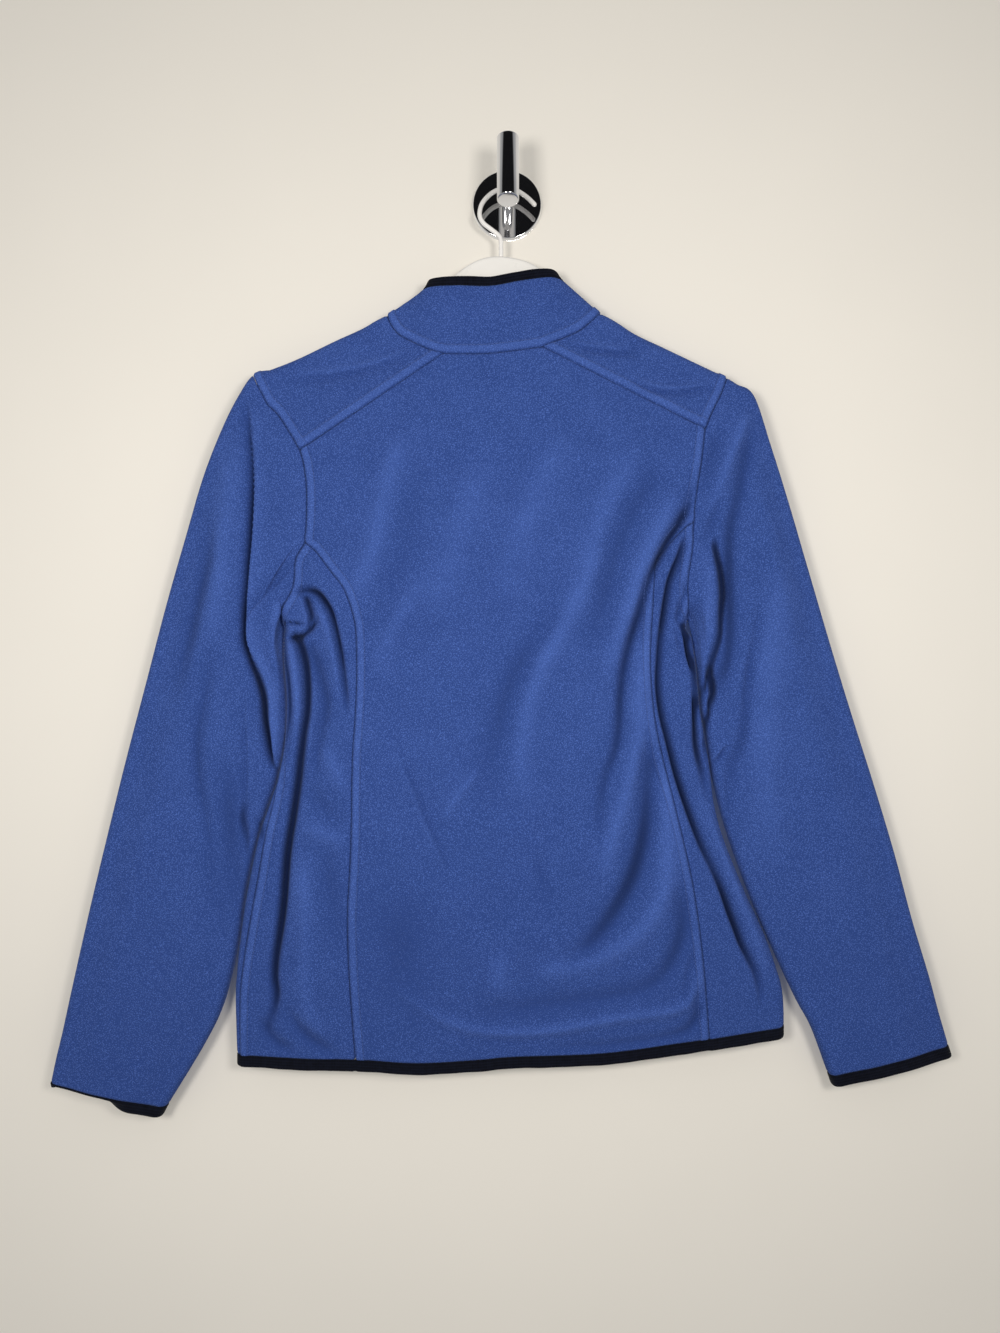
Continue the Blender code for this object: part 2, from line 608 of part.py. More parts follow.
def front_inner_boundary(side):
    """Centre front and the neck seam as far as the back yoke, in the flat front pattern."""
    neck_z = side["neck_front"][1][1]
    underarm_z = side["underarm"][1][1]
    low_z = hem_front(CENTRE_FRONT[1][1])
    low = np.linspace(low_z, underarm_z, SIDE_ROWS + 1)
    chest = np.linspace(underarm_z, neck_z, FRONT_CHEST_ROWS + 1)[1:]
    heights = np.concatenate([low, chest])
    centre = np.column_stack([centre_front(heights) - side["sign"] * ZIP_OPENING, heights])
    back = xz(NECK_BACK) if side is LEFT else xz(NECK_BACK)[::-1]
    join = np.argmin(np.hypot(*(back - side["yoke_join"]).T))
    neck = over_shoulder(xz(side["neck_front"]), back[1:join + 1], FRONT_NECK_ROWS, OVER_SHOULDER_ROWS)
    return np.vstack([centre, neck[1:]])


def front_grid(side):
    """Places of a front: it carries on round the side edge and over the shoulder to the back."""
    outer = front_outer_boundary(side)
    inner = front_inner_boundary(side)
    yoke = yoke_samples(side)
    top = np.column_stack([yoke[:, 0], flat_height(*yoke.T, BACK)])
    top[0], top[-1] = outer[-1], inner[-1]
    across = outer[0, 0] + (inner[0, 0] - outer[0, 0]) * np.array(YOKE_STEPS)
    blend = np.clip(np.array(YOKE_STEPS) / YOKE_STEPS[3], 0, 1)
    bottom = np.column_stack([across, hem_front(across)])
    bottom[:, 1] += (outer[0, 1] - bottom[0, 1]) * (1 - blend)
    bottom[-1] = inner[0]
    flat = patch(outer, inner, bottom, top)
    for row, mark in enumerate(SHOULDER_TURN, SIDE_ROWS + FRONT_CHEST_ROWS + FRONT_NECK_ROWS):
        flat[row, :, 1] = shoulder_line(flat[row, :, 0]) + TURN_SPARE + mark
    places = from_front_pattern(side, flat[..., 0], flat[..., 1])
    places[-1] = back_places(yoke)
    return places


def back_side_grid(side):
    """Places of a back side panel, between the side seam and the princess seam."""
    seam = side_seam_samples(side)
    princess = princess_samples(side)
    right = np.column_stack([edge_distance(side, *princess.T), princess[:, 1]])
    top = underarm_samples(side)
    across = seam[0, 0] + (right[0, 0] - seam[0, 0]) * np.array(SIDE_STEPS)
    x = side["edge"](seam[0, 1]) + side["sign"] * across
    bottom = np.column_stack([across, hem_back(x)])
    bottom[0], bottom[-1] = seam[0], right[0]
    flat = patch(seam, right, bottom, top)
    places = from_edge(side, flat[..., 0], flat[..., 1])
    places[:, -1] = back_places(princess)
    return places


def back_boundary(side):
    """Princess seam, armhole and yoke seam, from the hem to the neck."""
    return np.vstack([princess_samples(side), back_armhole_samples(side)[1:], yoke_samples(side)[1:]])


def back_grid():
    """Places of the centre back."""
    left, right = back_boundary(LEFT), back_boundary(RIGHT)
    across = np.linspace(left[0, 0], right[0, 0], BACK_COLUMNS + 1)
    bottom = np.column_stack([across, hem_back(across)])
    bottom[0], bottom[-1] = left[0], right[0]
    neck = xz(NECK_BACK)
    ends = [np.argmin(np.hypot(*(neck - join).T)) for join in (YOKE_JOIN_LEFT, YOKE_JOIN_RIGHT)]
    top = divide(spline(neck[ends[0]:ends[1] + 1]), BACK_COLUMNS)
    flat = patch(left, right, bottom, top)
    return np.concatenate([flat, np.full(flat.shape[:2] + (1,), BACK)], -1)


def armhole_mitre(points, normals):
    """Normals of an armhole seam, turned down under the arm, where sleeve and body lie back to back."""
    under = smooth((UNDERARM_TOP - points[..., 2:]) / UNDERARM_TURN)
    sideways = normals[..., :1]
    turned = np.concatenate([sideways * (1 - under), normals[..., 1:2],
                             normals[..., 2:] - under * np.abs(sideways)], -1)
    return turned / np.linalg.norm(turned, axis=-1, keepdims=True)


def build_body(grids):
    """The five body panels."""
    for name, places in grids.items():
        points, normals = place(places)
        if name.startswith("back_side"):
            normals[-1] = armhole_mitre(points[-1], normals[-1])
        if name.startswith("front"):
            normals[SIDE_ROWS:, 0] = armhole_mitre(points[SIDE_ROWS:, 0], normals[SIDE_ROWS:, 0])
        cloth_wall(name, points, normals, FLEECE)


# Sleeves

def armhole_ring(side, grids):
    """Places round an armhole: shoulder, down the back, underarm, up the front."""
    front = grids["front_" + side["name"]]
    shoulder = SIDE_ROWS + FRONT_CHEST_ROWS + FRONT_NECK_ROWS + SHOULDER_TURN.index(0.0)
    over = front[shoulder:, 0]
    back = back_places(back_armhole_samples(side))[::-1]
    under = grids["back_side_" + side["name"]][-1][::-1]
    up_front = front[SIDE_ROWS:shoulder, 0]
    ring = np.vstack([over, back[1:], under[1:], up_front[1:]])
    return ring, len(over) + len(back) + len(under) - 3


def section_depth(depth, width, half_depth):
    """Half depth of a flattened tube at a distance inside its edge."""
    near = np.minimum(depth, width - depth)
    radius = np.minimum(EDGE_RADIUS, half_depth)
    full = radius + (half_depth - radius) * smooth((near - radius) / SLEEVE_RAMP)
    turn = np.sqrt(np.clip(2 * radius * near - near ** 2, 0, None))
    return np.where(near < radius, turn, full)


def sleeve_fold(x, z, sheet):
    return np.where(sheet < 0, fold_height(x, z), 0)


def sleeve_rings(side, ring, turn):
    """Rings of a sleeve from the armhole to the cuff, as an array of points."""
    count = len(ring)
    steps = np.arange(count)
    share = np.where(steps <= turn, steps / turn, (count - steps) / (count - turn))
    across = (1 - np.cos(math.pi * share)) / 2
    sheet = np.where(steps <= turn, BACK, FRONT)
    table = side["sleeve"]
    stations = np.concatenate([np.linspace(0, 1, CAP_RINGS + 1) ** CAP_SPACING * SLEEVE_CAP,
                               np.linspace(SLEEVE_CAP, 1, ARM_RINGS + 1)[1:]])
    measures = {name: smooth_table(table, "along", name)(stations)[:, None] for name in table[0][1:]}
    clear = side["sign"] * SLEEVE_CLEARANCE * smooth((stations - CLEAR_FROM) / CLEAR_OVER)[:, None]
    outer = np.stack([measures["outer_x"], measures["outer_z"]], -1)
    inner = np.stack([measures["inner_x"] - clear, measures["inner_z"]], -1)
    width = np.linalg.norm(inner - outer, axis=-1)
    cloth = width - 2 * EDGE_RADIUS + math.pi * EDGE_RADIUS
    from_outer = np.minimum(across * cloth, (1 - across) * cloth)
    depth = roll(from_outer)[0]
    depth = np.where(across < 0.5, depth, width - depth)
    chord = outer + (inner - outer) * (depth / width)[..., None]
    half = section_depth(depth, width, measures["half_depth"])

    base, normals = place(ring)
    normals = armhole_mitre(base, normals)
    start = base[:, [0, 2]]
    end = chord[CAP_RINGS]
    time = np.clip(stations / SLEEVE_CAP, 0, 1)[:, None, None]
    at_ends, between = CAP_LEAVE
    leave = np.column_stack([-side["sign"] * (at_ends + between * across * (1 - across)), np.zeros(count)])
    arrive = (chord[CAP_RINGS + 1] - chord[CAP_RINGS - 1]) * CAP_RINGS / CAP_ARRIVE
    cap = ((2 * time ** 3 - 3 * time ** 2 + 1) * start + (time ** 3 - 2 * time ** 2 + time) * leave
           + (3 * time ** 2 - 2 * time ** 3) * end + (time ** 3 - time ** 2) * arrive)
    share_in = across[None, :, None]
    cap += (1 - share_in) * (outer - cap[:, :1]) + share_in * (inner - cap[:, turn:turn + 1])
    flat = np.where(np.arange(len(stations))[:, None, None] < CAP_RINGS, cap, chord)
    blend = 1 - smooth(stations / SLEEVE_CAP)[:, None]
    y_section = HANG_Y + sheet * half
    y = blend * base[:, 1] + (1 - blend) * y_section
    tucked = np.minimum(half / EDGE_RADIUS, 1) * (1 - blend)
    y += sheet * tucked * sleeve_fold(flat[..., 0], flat[..., 1], np.broadcast_to(sheet, half.shape))
    rings = np.stack([flat[..., 0], y, flat[..., 1]], -1)
    rings[0] = base
    return rings, normals


def outward(normals, points):
    """Turn a tube's normals so that they point away from its axis."""
    away = points - points.mean(1, keepdims=True)
    return normals * (1 if (normals * away).sum() > 0 else -1)


def cuff_binding(side, rings, normals):
    """Outer grid and normals of a cuff's binding; the left one is turned in along the outer part."""
    edge, facing = rings[-1], normals[-1]
    axis = (rings[-1] - rings[-2]).mean(0)
    axis /= np.linalg.norm(axis)
    width = np.ptp(edge[:, 0])
    across = np.abs(edge[:, 0] - side["sleeve"][-1][1]) / width
    curled = smooth((CURL_SHARE - across) / CURL_FADE) if side is LEFT else np.zeros(len(edge))
    on_back = smooth(-facing[:, 1])
    angle = CURL_ANGLE * curled * np.maximum(on_back, 0.3)
    reach = BINDING_WIDTH * (1 - CURL_SHORT * curled * (1 - on_back))

    def turned(share):
        bend = (angle * share)[:, None]
        return axis * np.cos(bend) - facing * np.sin(bend), facing * np.cos(bend) + axis * np.sin(bend)

    rows, row_normals = [edge], [facing]
    for start, end in zip(BINDING_ROWS, BINDING_ROWS[1:]):
        rows.append(rows[-1] + turned((start + end) / 2)[0] * (reach * (end - start))[:, None])
        row_normals.append(turned(end)[1])
    return np.stack(rows), np.stack(row_normals)


def build_sleeves(grids):
    """Both sleeves, each a tube, and their cuff bindings."""
    for side in (LEFT, RIGHT):
        ring, turn = armhole_ring(side, grids)
        rings, base_normals = sleeve_rings(side, ring, turn)
        normals = outward(grid_normals(rings, closed=True), rings)
        normals[0] = base_normals
        cloth_wall("sleeve_" + side["name"], rings, normals, FLEECE, closed=True)
        strip, facing = cuff_binding(side, rings, normals)
        outer = draw_in(strip, SEAM_GAP / 2, closed=True, far_end=False) + facing * (RIB - CLOTH) / 2
        wall("cuff_binding_" + side["name"], outer, outer - RIB * facing, NAVY, closed=True)


# Collar and bindings

def neck_ring(grids):
    """Places round the neck from the left zip edge over the back to the right zip edge."""
    start = SIDE_ROWS + FRONT_CHEST_ROWS
    left = grids["front_left"][start:, -1]
    right = grids["front_right"][start:, -1][::-1]
    return np.vstack([left, grids["back"][-1][1:-1], right])


def collar_grid(grids):
    """The stand collar: rows from the neck seam to its top edge."""
    base, normals = place(neck_ring(grids))
    run = lengths(base) / lengths(base)[-1]
    top = np.column_stack([smooth_table(COLLAR_TOP, "round", axis)(run) for axis in "xyz"])
    rise = np.array(COLLAR_ROWS)[:, None, None]
    points = base * (1 - rise) + top * rise
    grid = grid_normals(points, closed=False)
    grid *= 1 if grid[2, grid.shape[1] // 2, 1] < 0 else -1
    grid[0] = normals
    return points, grid


def binding(name, edge, normals, direction, width):
    """A binding that carries on from an edge: a wall of its own, clear of the edge by the seam gap."""
    start = BINDING_GAP - SEAM_GAP / 2
    strip = np.stack([edge + reach * direction for reach in np.linspace(start, width, 3)])
    outer = draw_in(strip, SEAM_GAP / 2, far_end=False) + normals * (RIB - CLOTH) / 2
    wall(name, outer, outer - RIB * normals, NAVY)


def build_collar(points, normals):
    """The collar and the binding on its top edge."""
    cloth_wall("collar", points, normals, FLEECE)
    tangent = np.gradient(points[-1], axis=0)
    tangent /= np.linalg.norm(tangent, axis=-1, keepdims=True)
    up = points[-1] - points[-2]
    up -= (up * tangent).sum(-1, keepdims=True) * tangent
    up /= np.linalg.norm(up, axis=-1, keepdims=True)
    binding("collar_binding", points[-1], normals[-1], up, COLLAR_BINDING_WIDTH)


def hem_places(grids):
    """Places along the hem from the left zip edge round the back to the right zip edge."""
    return np.vstack([grids["front_left"][0][::-1], grids["back_side_left"][0][1:], grids["back"][0][1:],
                      grids["back_side_right"][0][::-1][1:], grids["front_right"][0][1:]])


def build_hem(grids):
    """The binding along the hem: a length round each side edge, and the flat lengths between them."""
    edge, normals = place(hem_places(grids))
    down = np.broadcast_to(np.array([0.0, 0.0, -1.0]), edge.shape)
    turn = YOKE_STEPS.index(HEM_TURN)
    columns = (len(YOKE_STEPS) - 1 - turn, turn + len(SIDE_STEPS) - 1, BACK_COLUMNS,
               len(SIDE_STEPS) - 1 + turn, len(YOKE_STEPS) - 1 - turn)
    stops = np.cumsum((0, *columns))
    for name, start, stop in zip(HEM_LENGTHS, stops, stops[1:]):
        piece = slice(start, stop + 1)
        binding("hem_binding_" + name, edge[piece], normals[piece], down[piece], BINDING_WIDTH)


# Zip

def zip_line(grids, collar_points):
    """Centre line, across and outward directions of the zip from the hem to the collar's top."""
    left, left_normals = place(grids["front_left"][:SIDE_ROWS + FRONT_CHEST_ROWS + 1, -1])
    right, right_normals = place(grids["front_right"][:SIDE_ROWS + FRONT_CHEST_ROWS + 1, -1])
    left = np.vstack([left, collar_points[1:, 0]])
    right = np.vstack([right, collar_points[1:, -1]])
    centre = (left + right) / 2
    foot = centre[0] + (centre[0] - centre[1]) / np.linalg.norm(centre[0] - centre[1]) * (BINDING_WIDTH - 1)
    centre = np.vstack([foot, centre])
    across = np.vstack([right[:1] - left[:1], right - left])
    across /= np.linalg.norm(across, axis=-1, keepdims=True)
    run = np.gradient(centre, axis=0)
    out = np.cross(across, run)
    out *= np.sign(out[:, 1:2])
    out /= np.linalg.norm(out, axis=-1, keepdims=True)
    return centre, across, out


def zip_strip(name, line, low, high, top_face, thick, look):
    """A flat strip beside the zip's centre line, between two offsets across it."""
    centre, across, out = line
    outer = np.stack([centre + low * across, centre + high * across], 1) + out[:, None] * top_face
    return wall(name, outer, outer - out[:, None] * thick, look)


def box(name, low, high):
    """A box between two corners, in metres."""
    bpy.ops.mesh.primitive_cube_add(size=1, location=[(a + b) / 2 for a, b in zip(low, high)])
    piece = bpy.context.object
    piece.name = name
    piece.scale = [b - a for a, b in zip(low, high)]
    bpy.ops.object.transform_apply(location=True, scale=True)
    return piece


def rod(name, radius, start, end, sides=24):
    """A cylinder from one point to another, in metres."""
    start, end = np.array(start), np.array(end)
    run = end - start
    size = np.linalg.norm(run)
    bpy.ops.mesh.primitive_cylinder_add(vertices=sides, radius=radius, depth=size, location=(start + end) / 2)
    piece = bpy.context.object
    piece.name = name
    yaw, pitch = math.atan2(run[1], run[0]), math.acos(run[2] / size)
    piece.rotation_euler = (0, pitch, yaw)
    bpy.ops.object.transform_apply(location=True, rotation=True)
    return piece


def boolean(target, other, operation):
    """Join or cut with an exact boolean; the other piece stays as a hidden cutter."""
    modifier = target.modifiers.new(operation.title() + " " + other.name, "BOOLEAN")
    modifier.operation = operation
    modifier.solver = "EXACT"
    modifier.object = other
    for owner in list(other.users_collection):
        owner.objects.unlink(other)
    cutters.objects.link(other)
    other.hide_render = True
    other.display_type = "WIRE"


def build_slider(pose):
    """The slider: an outer and an inner plate joined by a wedge, and a lug with a bar for the tab."""
    half, length, plate = SLIDER_HALF * MM, SLIDER_LENGTH * MM, SLIDER_PLATE * MM
    space = (CHAIN_THICK + 2 * CHAIN_PLAY) * MM
    wedge_half, wedge = WEDGE_HALF * MM, WEDGE_LENGTH * MM
    slider = box("zip_slider", (-half, 0, -length), (half, plate, 0))
    inner = box("slider_inner_plate", (-half, -space - plate, -length), (half, -space, 0))
    core = box("slider_wedge", (-wedge_half, -space - plate / 2, -wedge), (wedge_half, plate / 2, 0))
    bar_y = plate + LUG_BAR_HEIGHT * MM
    bar_z = -length / 2
    boolean(slider, core, "UNION")
    boolean(slider, inner, "UNION")
    post_start, post_half = (TAB_EYE_HALF + CHAIN_PLAY) * MM, POST_HALF * MM
    posts = []
    for name, end in (("left", -1), ("right", 1)):
        low, high = sorted((end * post_start, end * (post_start + POST_THICK * MM)))
        posts.append(box("slider_post_" + name, (low, plate / 2, bar_z - post_half),
                         (high, bar_y + post_half, bar_z + post_half)))
        boolean(slider, posts[-1], "UNION")
    reach = post_start + POST_THICK * MM / 2
    bar = rod("slider_bar", LUG_BAR_RADIUS * MM, (-reach, bar_y, bar_z), (reach, bar_y, bar_z), 12)
    boolean(slider, bar, "UNION")
    for piece in (slider, core, inner, bar, *posts):
        piece.parent = pose
    finish(slider, ZIP_METAL)
    return bar_y, bar_z


def build_tab(pose, bar_y, bar_z):
    """The pull tab: an eye round the slider's bar and a flat pull below it."""
    hinge = bpy.data.objects.new("zip_tab_hinge", None)
    jacket.objects.link(hinge)
    hinge.parent = pose
    hinge.location = (0, bar_y, bar_z)
    eye_half = TAB_EYE_HALF * MM
    tab = rod("zip_pull_tab", TAB_EYE_RADIUS * MM, (-eye_half, 0, 0), (eye_half, 0, 0), 20)
    thick, neck_half, low = TAB_THICK / 2 * MM, eye_half * FUSE, -TAB_NECK * MM
    neck_top = -(LUG_BAR_RADIUS + TAB_EYE_RADIUS) / 2 * MM
    neck = box("tab_neck", (-neck_half, -thick, low), (neck_half, thick, neck_top))
    pull_top = low + (TAB_NECK - TAB_EYE_RADIUS) / 2 * MM
    pull = box("tab_pull", (-TAB_HALF * MM, -thick * FUSE, -TAB_LENGTH * MM),
               (TAB_HALF * MM, thick * FUSE, pull_top))
    hole = rod("tab_hole", (LUG_BAR_RADIUS + BAR_PLAY) * MM, (-2 * eye_half, 0, 0), (2 * eye_half, 0, 0), 16)
    boolean(tab, neck, "UNION")
    boolean(tab, pull, "UNION")
    boolean(tab, hole, "DIFFERENCE")
    for piece in (tab, neck, pull, hole):
        piece.parent = hinge
    finish(tab, ZIP_METAL)


def build_zip(grids, collar_points):
    """Tapes, chain, slider and pull tab down the centre front."""
    line = zip_line(grids, collar_points)
    tape_face = -(CLOTH + RIB) / 2 - SEAM_GAP
    zip_strip("zip_tape_left", line, -TAPE_REACH, -TAPE_START, tape_face, TAPE_THICK, TAPE)
    zip_strip("zip_tape_right", line, TAPE_START, TAPE_REACH, tape_face, TAPE_THICK, TAPE)
    centre, across, out = line
    run = (centre[-1] - centre[-2]) / np.linalg.norm(centre[-1] - centre[-2])
    chain_face = tape_face - TAPE_THICK / 2 + CHAIN_THICK / 2
    top = centre[-1] - run * (WEDGE_LENGTH + CHAIN_PLAY)
    short = (np.vstack([centre[:-1], top]), across, out)
    zip_strip("zip_chain", short, -CHAIN_HALF, CHAIN_HALF, chain_face, CHAIN_THICK, ZIP_METAL)
    pose = bpy.data.objects.new("zip_slider_place", None)
    jacket.objects.link(pose)
    pose.location = (centre[-1] + out[-1] * (chain_face + CHAIN_PLAY)) * MM
    pose.rotation_euler = (math.atan2(-run[1], run[2]), 0, 0)
    build_tab(pose, *build_slider(pose))


# Hanger and wall hook

def tube(name, route, radius, sides, look):
    """A round bar along a route of points, with filled ends."""
    data = bpy.data.curves.new(name, "CURVE")
    data.dimensions = "3D"
    data.bevel_depth = radius * MM
    data.bevel_resolution = sides
    data.use_fill_caps = True
    line = data.splines.new("POLY")
    line.points.add(len(route) - 1)
    line.points.foreach_set("co", np.column_stack([route * MM, np.ones(len(route))]).ravel())
    return finish(bpy.data.objects.new(name, data), look)


def build_hanger():
    """A flat hanger under the shoulders, lofted through upright sections, and its wire hook."""
    x = column(HANGER_HUMP, "x")
    arm_left = np.linspace(HANGER_ENDS[0], x[0], 9)[:-1]
    arm_right = np.linspace(x[-1], HANGER_ENDS[1], 9)[1:]
    drop = CLOTH + ARM_CLEARANCE
    ends = [np.column_stack([arm, shoulder_line(arm) - drop]) for arm in (arm_left, arm_right)]
    top = spline(np.vstack([ends[0], np.column_stack([x, column(HANGER_HUMP, "top")]), ends[1]]), 2)
    low = [arm - (0, ARM_HEIGHT) for arm in ends]
    bottom = np.vstack([low[0], np.column_stack([x, column(HANGER_HUMP, "bottom")]), low[1]])
    bottom = np.column_stack([top[:, 0], np.interp(top[:, 0], *bottom.T)])
    sides = np.array([(1, 1), (-1, 1), (-1, -1), (1, -1)], float)
    corners = np.repeat(sides, CORNER_STEPS + 1, axis=0)
    quarter = np.repeat(np.arange(4), CORNER_STEPS + 1) + np.tile(np.linspace(0, 1, CORNER_STEPS + 1), 4)
    turn = np.column_stack([np.cos(quarter * math.pi / 2), np.sin(quarter * math.pi / 2)])
    half = np.column_stack([np.full(len(top), ARM_HALF_THICK), (top - bottom)[:, 1] / 2])
    across = corners * (half[:, None] - ARM_ROUNDING) + turn * ARM_ROUNDING
    middle_z = (top + bottom)[:, 1] / 2
    rings = np.stack([np.broadcast_to(top[:, :1], across.shape[:2]), HANG_Y + across[..., 0],
                      middle_z[:, None] + across[..., 1]], -1)
    loft("hanger", rings, WHITE_PLASTIC)
    wire = spline(xz(HOOK_WIRE), 2)
    tube("hanger_hook", np.insert(wire, 1, HANG_Y, axis=1), WIRE_RADIUS, 2, WHITE_WIRE)


def round_edges(piece, width, segments):
    """Round a piece's sharp edges."""
    modifier = piece.modifiers.new("Rounded edges", "BEVEL")
    modifier.width = width * MM
    modifier.segments = segments
    modifier.limit_method = "ANGLE"
    modifier.angle_limit = math.radians(50)


def build_wall_hook():
    """A round wall plate, and a pin with an upright peg on its end."""
    plate = rod("wall_plate", PLATE_RADIUS * MM, (0, 0, 0), (0, -PLATE_THICK * MM, 0), 64)
    round_edges(plate, PLATE_EDGE, 2)
    finish(plate, CHROME)
    centre = np.array(PEG_CENTRE) * MM
    lean = np.array([0, math.sin(PEG_LEAN), math.cos(PEG_LEAN)]) * PEG_LENGTH / 2 * MM
    hook = rod("wall_hook", PEG_RADIUS * MM, centre - lean, centre + lean, 40)
    pin = rod("hook_pin", PIN_RADIUS * MM, (PEG_CENTRE[0] * MM, centre[1], 0),
              (PEG_CENTRE[0] * MM, -(PLATE_THICK + SEAM_GAP) * MM, 0), 24)
    boolean(hook, pin, "UNION")
    finish(hook, CHROME)


def main():
    grids = {"back": back_grid()}
    for side in (LEFT, RIGHT):
        grids["back_side_" + side["name"]] = back_side_grid(side)
        grids["front_" + side["name"]] = front_grid(side)
    build_body(grids)
    build_sleeves(grids)
    collar_points, collar_normals = collar_grid(grids)
    build_collar(collar_points, collar_normals)
    build_hem(grids)
    build_zip(grids, collar_points)
    build_hanger()
    build_wall_hook()


for leftover in list(bpy.data.objects):
    bpy.data.objects.remove(leftover)
jacket = bpy.data.collections.new("fleece_zip_jacket")
cutters = bpy.data.collections.new("cutters")
bpy.context.scene.collection.children.link(jacket)
bpy.context.scene.collection.children.link(cutters)
main()
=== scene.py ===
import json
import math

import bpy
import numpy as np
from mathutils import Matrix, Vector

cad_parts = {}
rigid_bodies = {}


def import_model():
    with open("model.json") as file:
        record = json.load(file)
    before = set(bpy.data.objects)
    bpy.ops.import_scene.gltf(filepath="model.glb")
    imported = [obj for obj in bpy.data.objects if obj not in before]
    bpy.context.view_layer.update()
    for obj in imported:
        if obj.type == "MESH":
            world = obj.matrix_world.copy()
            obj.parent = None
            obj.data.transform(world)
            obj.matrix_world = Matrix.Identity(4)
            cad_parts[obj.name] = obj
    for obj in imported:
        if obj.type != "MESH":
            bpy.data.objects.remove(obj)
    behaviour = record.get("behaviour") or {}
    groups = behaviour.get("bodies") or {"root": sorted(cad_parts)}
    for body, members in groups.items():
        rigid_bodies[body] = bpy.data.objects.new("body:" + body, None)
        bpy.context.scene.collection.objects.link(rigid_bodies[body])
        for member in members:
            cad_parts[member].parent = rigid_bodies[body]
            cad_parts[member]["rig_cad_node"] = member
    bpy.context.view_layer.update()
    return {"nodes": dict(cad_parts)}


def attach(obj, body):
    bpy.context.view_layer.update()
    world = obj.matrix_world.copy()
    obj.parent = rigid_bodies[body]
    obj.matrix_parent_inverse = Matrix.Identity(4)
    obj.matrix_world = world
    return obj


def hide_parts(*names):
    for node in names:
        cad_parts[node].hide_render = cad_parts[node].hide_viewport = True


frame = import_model()

# %% [markdown]
# # A fleece zip jacket on its hanger
#
# The real thing is a soft micro-fleece jacket, sewn from flat pieces, that hangs by its shoulders on a
# plastic hanger with its back to the room and its zip towards the wall. Cloth like this could be simulated,
# but the folds of one particular hanging jacket are easier to place one by one: each sewn piece is a surface
# over a grid, and each fold is a route across that surface with a height to its left and a height to its
# right. Everything is worked out in millimetres as whole arrays and turned into metres at the end.

MM = 0.001


def smooth(value):
    """Smooth step: 3 t^2 - 2 t^3 between 0 and 1."""
    value = np.clip(value, 0, 1)
    return value * value * (3 - 2 * value)


def unit(vectors):
    """Vectors divided by their lengths."""
    return vectors / np.maximum(np.linalg.norm(vectors, axis=-1, keepdims=True), 1e-9)


def spline(points, per_step=12):
    """A dense Catmull-Rom curve: each stretch is a cubic whose end slopes are half the neighbours' difference."""
    points = np.asarray(points, float)
    padded = np.vstack([2 * points[0] - points[1], points, 2 * points[-1] - points[-2]])
    before, start, end, after = (padded[k:len(padded) - 3 + k, None] for k in range(4))
    step = (np.arange(per_step) / per_step)[None, :, None]
    dense = 0.5 * (2 * start + (end - before) * step + (2 * before - 5 * start + 4 * end - after) * step ** 2
                   + (3 * start - before - 3 * end + after) * step ** 3)
    return np.vstack([dense.reshape(-1, points.shape[1]), points[-1:]])


def lengths(points):
    """Distance along a curve at each of its points: the running sum of its steps."""
    return np.concatenate([[0], np.cumsum(np.linalg.norm(np.diff(points, axis=0), axis=1))])


def along(curve, distances):
    """Places on a dense curve at given distances along it, by straight interpolation."""
    measured = lengths(curve)
    return np.column_stack([np.interp(distances, measured, values) for values in curve.T])


def divide(curve, fractions):
    """Places on a dense curve at fractions of its length."""
    return along(curve, np.asarray(fractions) * lengths(curve)[-1])


def curve_of(points, column=1):
    """A smooth function from the first column of a table of points to another."""
    curve = spline(np.asarray(points, float)[:, [0, column]])
    curve = curve[np.argsort(curve[:, 0])]
    return lambda wanted: np.interp(wanted, curve[:, 0], curve[:, 1])


def graded(total, step, fine=1.25, reach=11.0, start=True, end=True):
    """Fractions of a length: steps of `fine` within `reach` of a sewn end, and about `step` elsewhere."""
    head = np.arange(0, reach + fine / 2, fine) if start else np.zeros(1)
    tail = total - (np.arange(0, reach + fine / 2, fine) if end else np.zeros(1))[::-1]
    count = max(2, round((tail[0] - head[-1]) / step))
    return np.concatenate([head, np.linspace(head[-1], tail[0], count + 1)[1:-1], tail]) / total


# %% [markdown]
# ## The measured lines
#
# A garment is drawn as a pattern: the outline of each piece is a curve in the flat. These tables hold the
# jacket's seams and edges as (x, z) points in millimetres, seen from its back, with the wearer's left at
# negative x.

# %% Outline, depth and seams
SHOULDER_LINE = [(-340, -215), (-229, -161.5), (-209, -155), (-184, -145), (-152, -129.5), (-128, -118.5),
                 (-108, -107.5), (-60, -88), (-11, -78), (38, -88), (86, -107), (113, -123.5), (136, -134.5),
                 (159, -145.5), (181, -156), (197, -163.5), (310, -217)]
# z, x of the left edge, x of the right edge
BODY_EDGES = [(-100, -330, 290), (-240, -290, 250), (-300, -245, 206), (-340, -213, 174), (-378, -198, 157.5),
              (-395, -197.7, 163.4), (-416, -197.5, 166.6), (-452, -195, 170.5), (-480, -196, 175),
              (-508, -200.5, 180), (-540, -211, 184), (-570, -221, 192), (-618, -231, 211), (-650, -236, 226),
              (-685, -240, 239), (-715, -241.5, 245.5), (-780, -239.5, 245.5)]
# drop below the shoulder line, half depth; then z and y of the body's middle plane
BODY_DEPTH = [(0, 9.0), (30, 10.5), (80, 14.0), (160, 16.5), (300, 17.5), (450, 17.5), (680, 15.5)]
BODY_MIDDLE = [(-100, -20.0), (-250, -21.5), (-450, -22.0), (-780, -20.5)]
CHEST_DROP = 300.0
HEM_BACK = [(-245, -760.5), (-205, -761.8), (-174, -762), (-132, -762), (-79, -765.3), (-24, -762.3), (4, -759.8),
            (70, -757.6), (109, -753.8), (156, -746.8), (180, -743.8), (212, -740.3), (233, -737.5), (250, -734)]
HEM_FRONT = [(-245, -760.5), (-120, -762), (3, -763), (120, -754), (250, -734)]
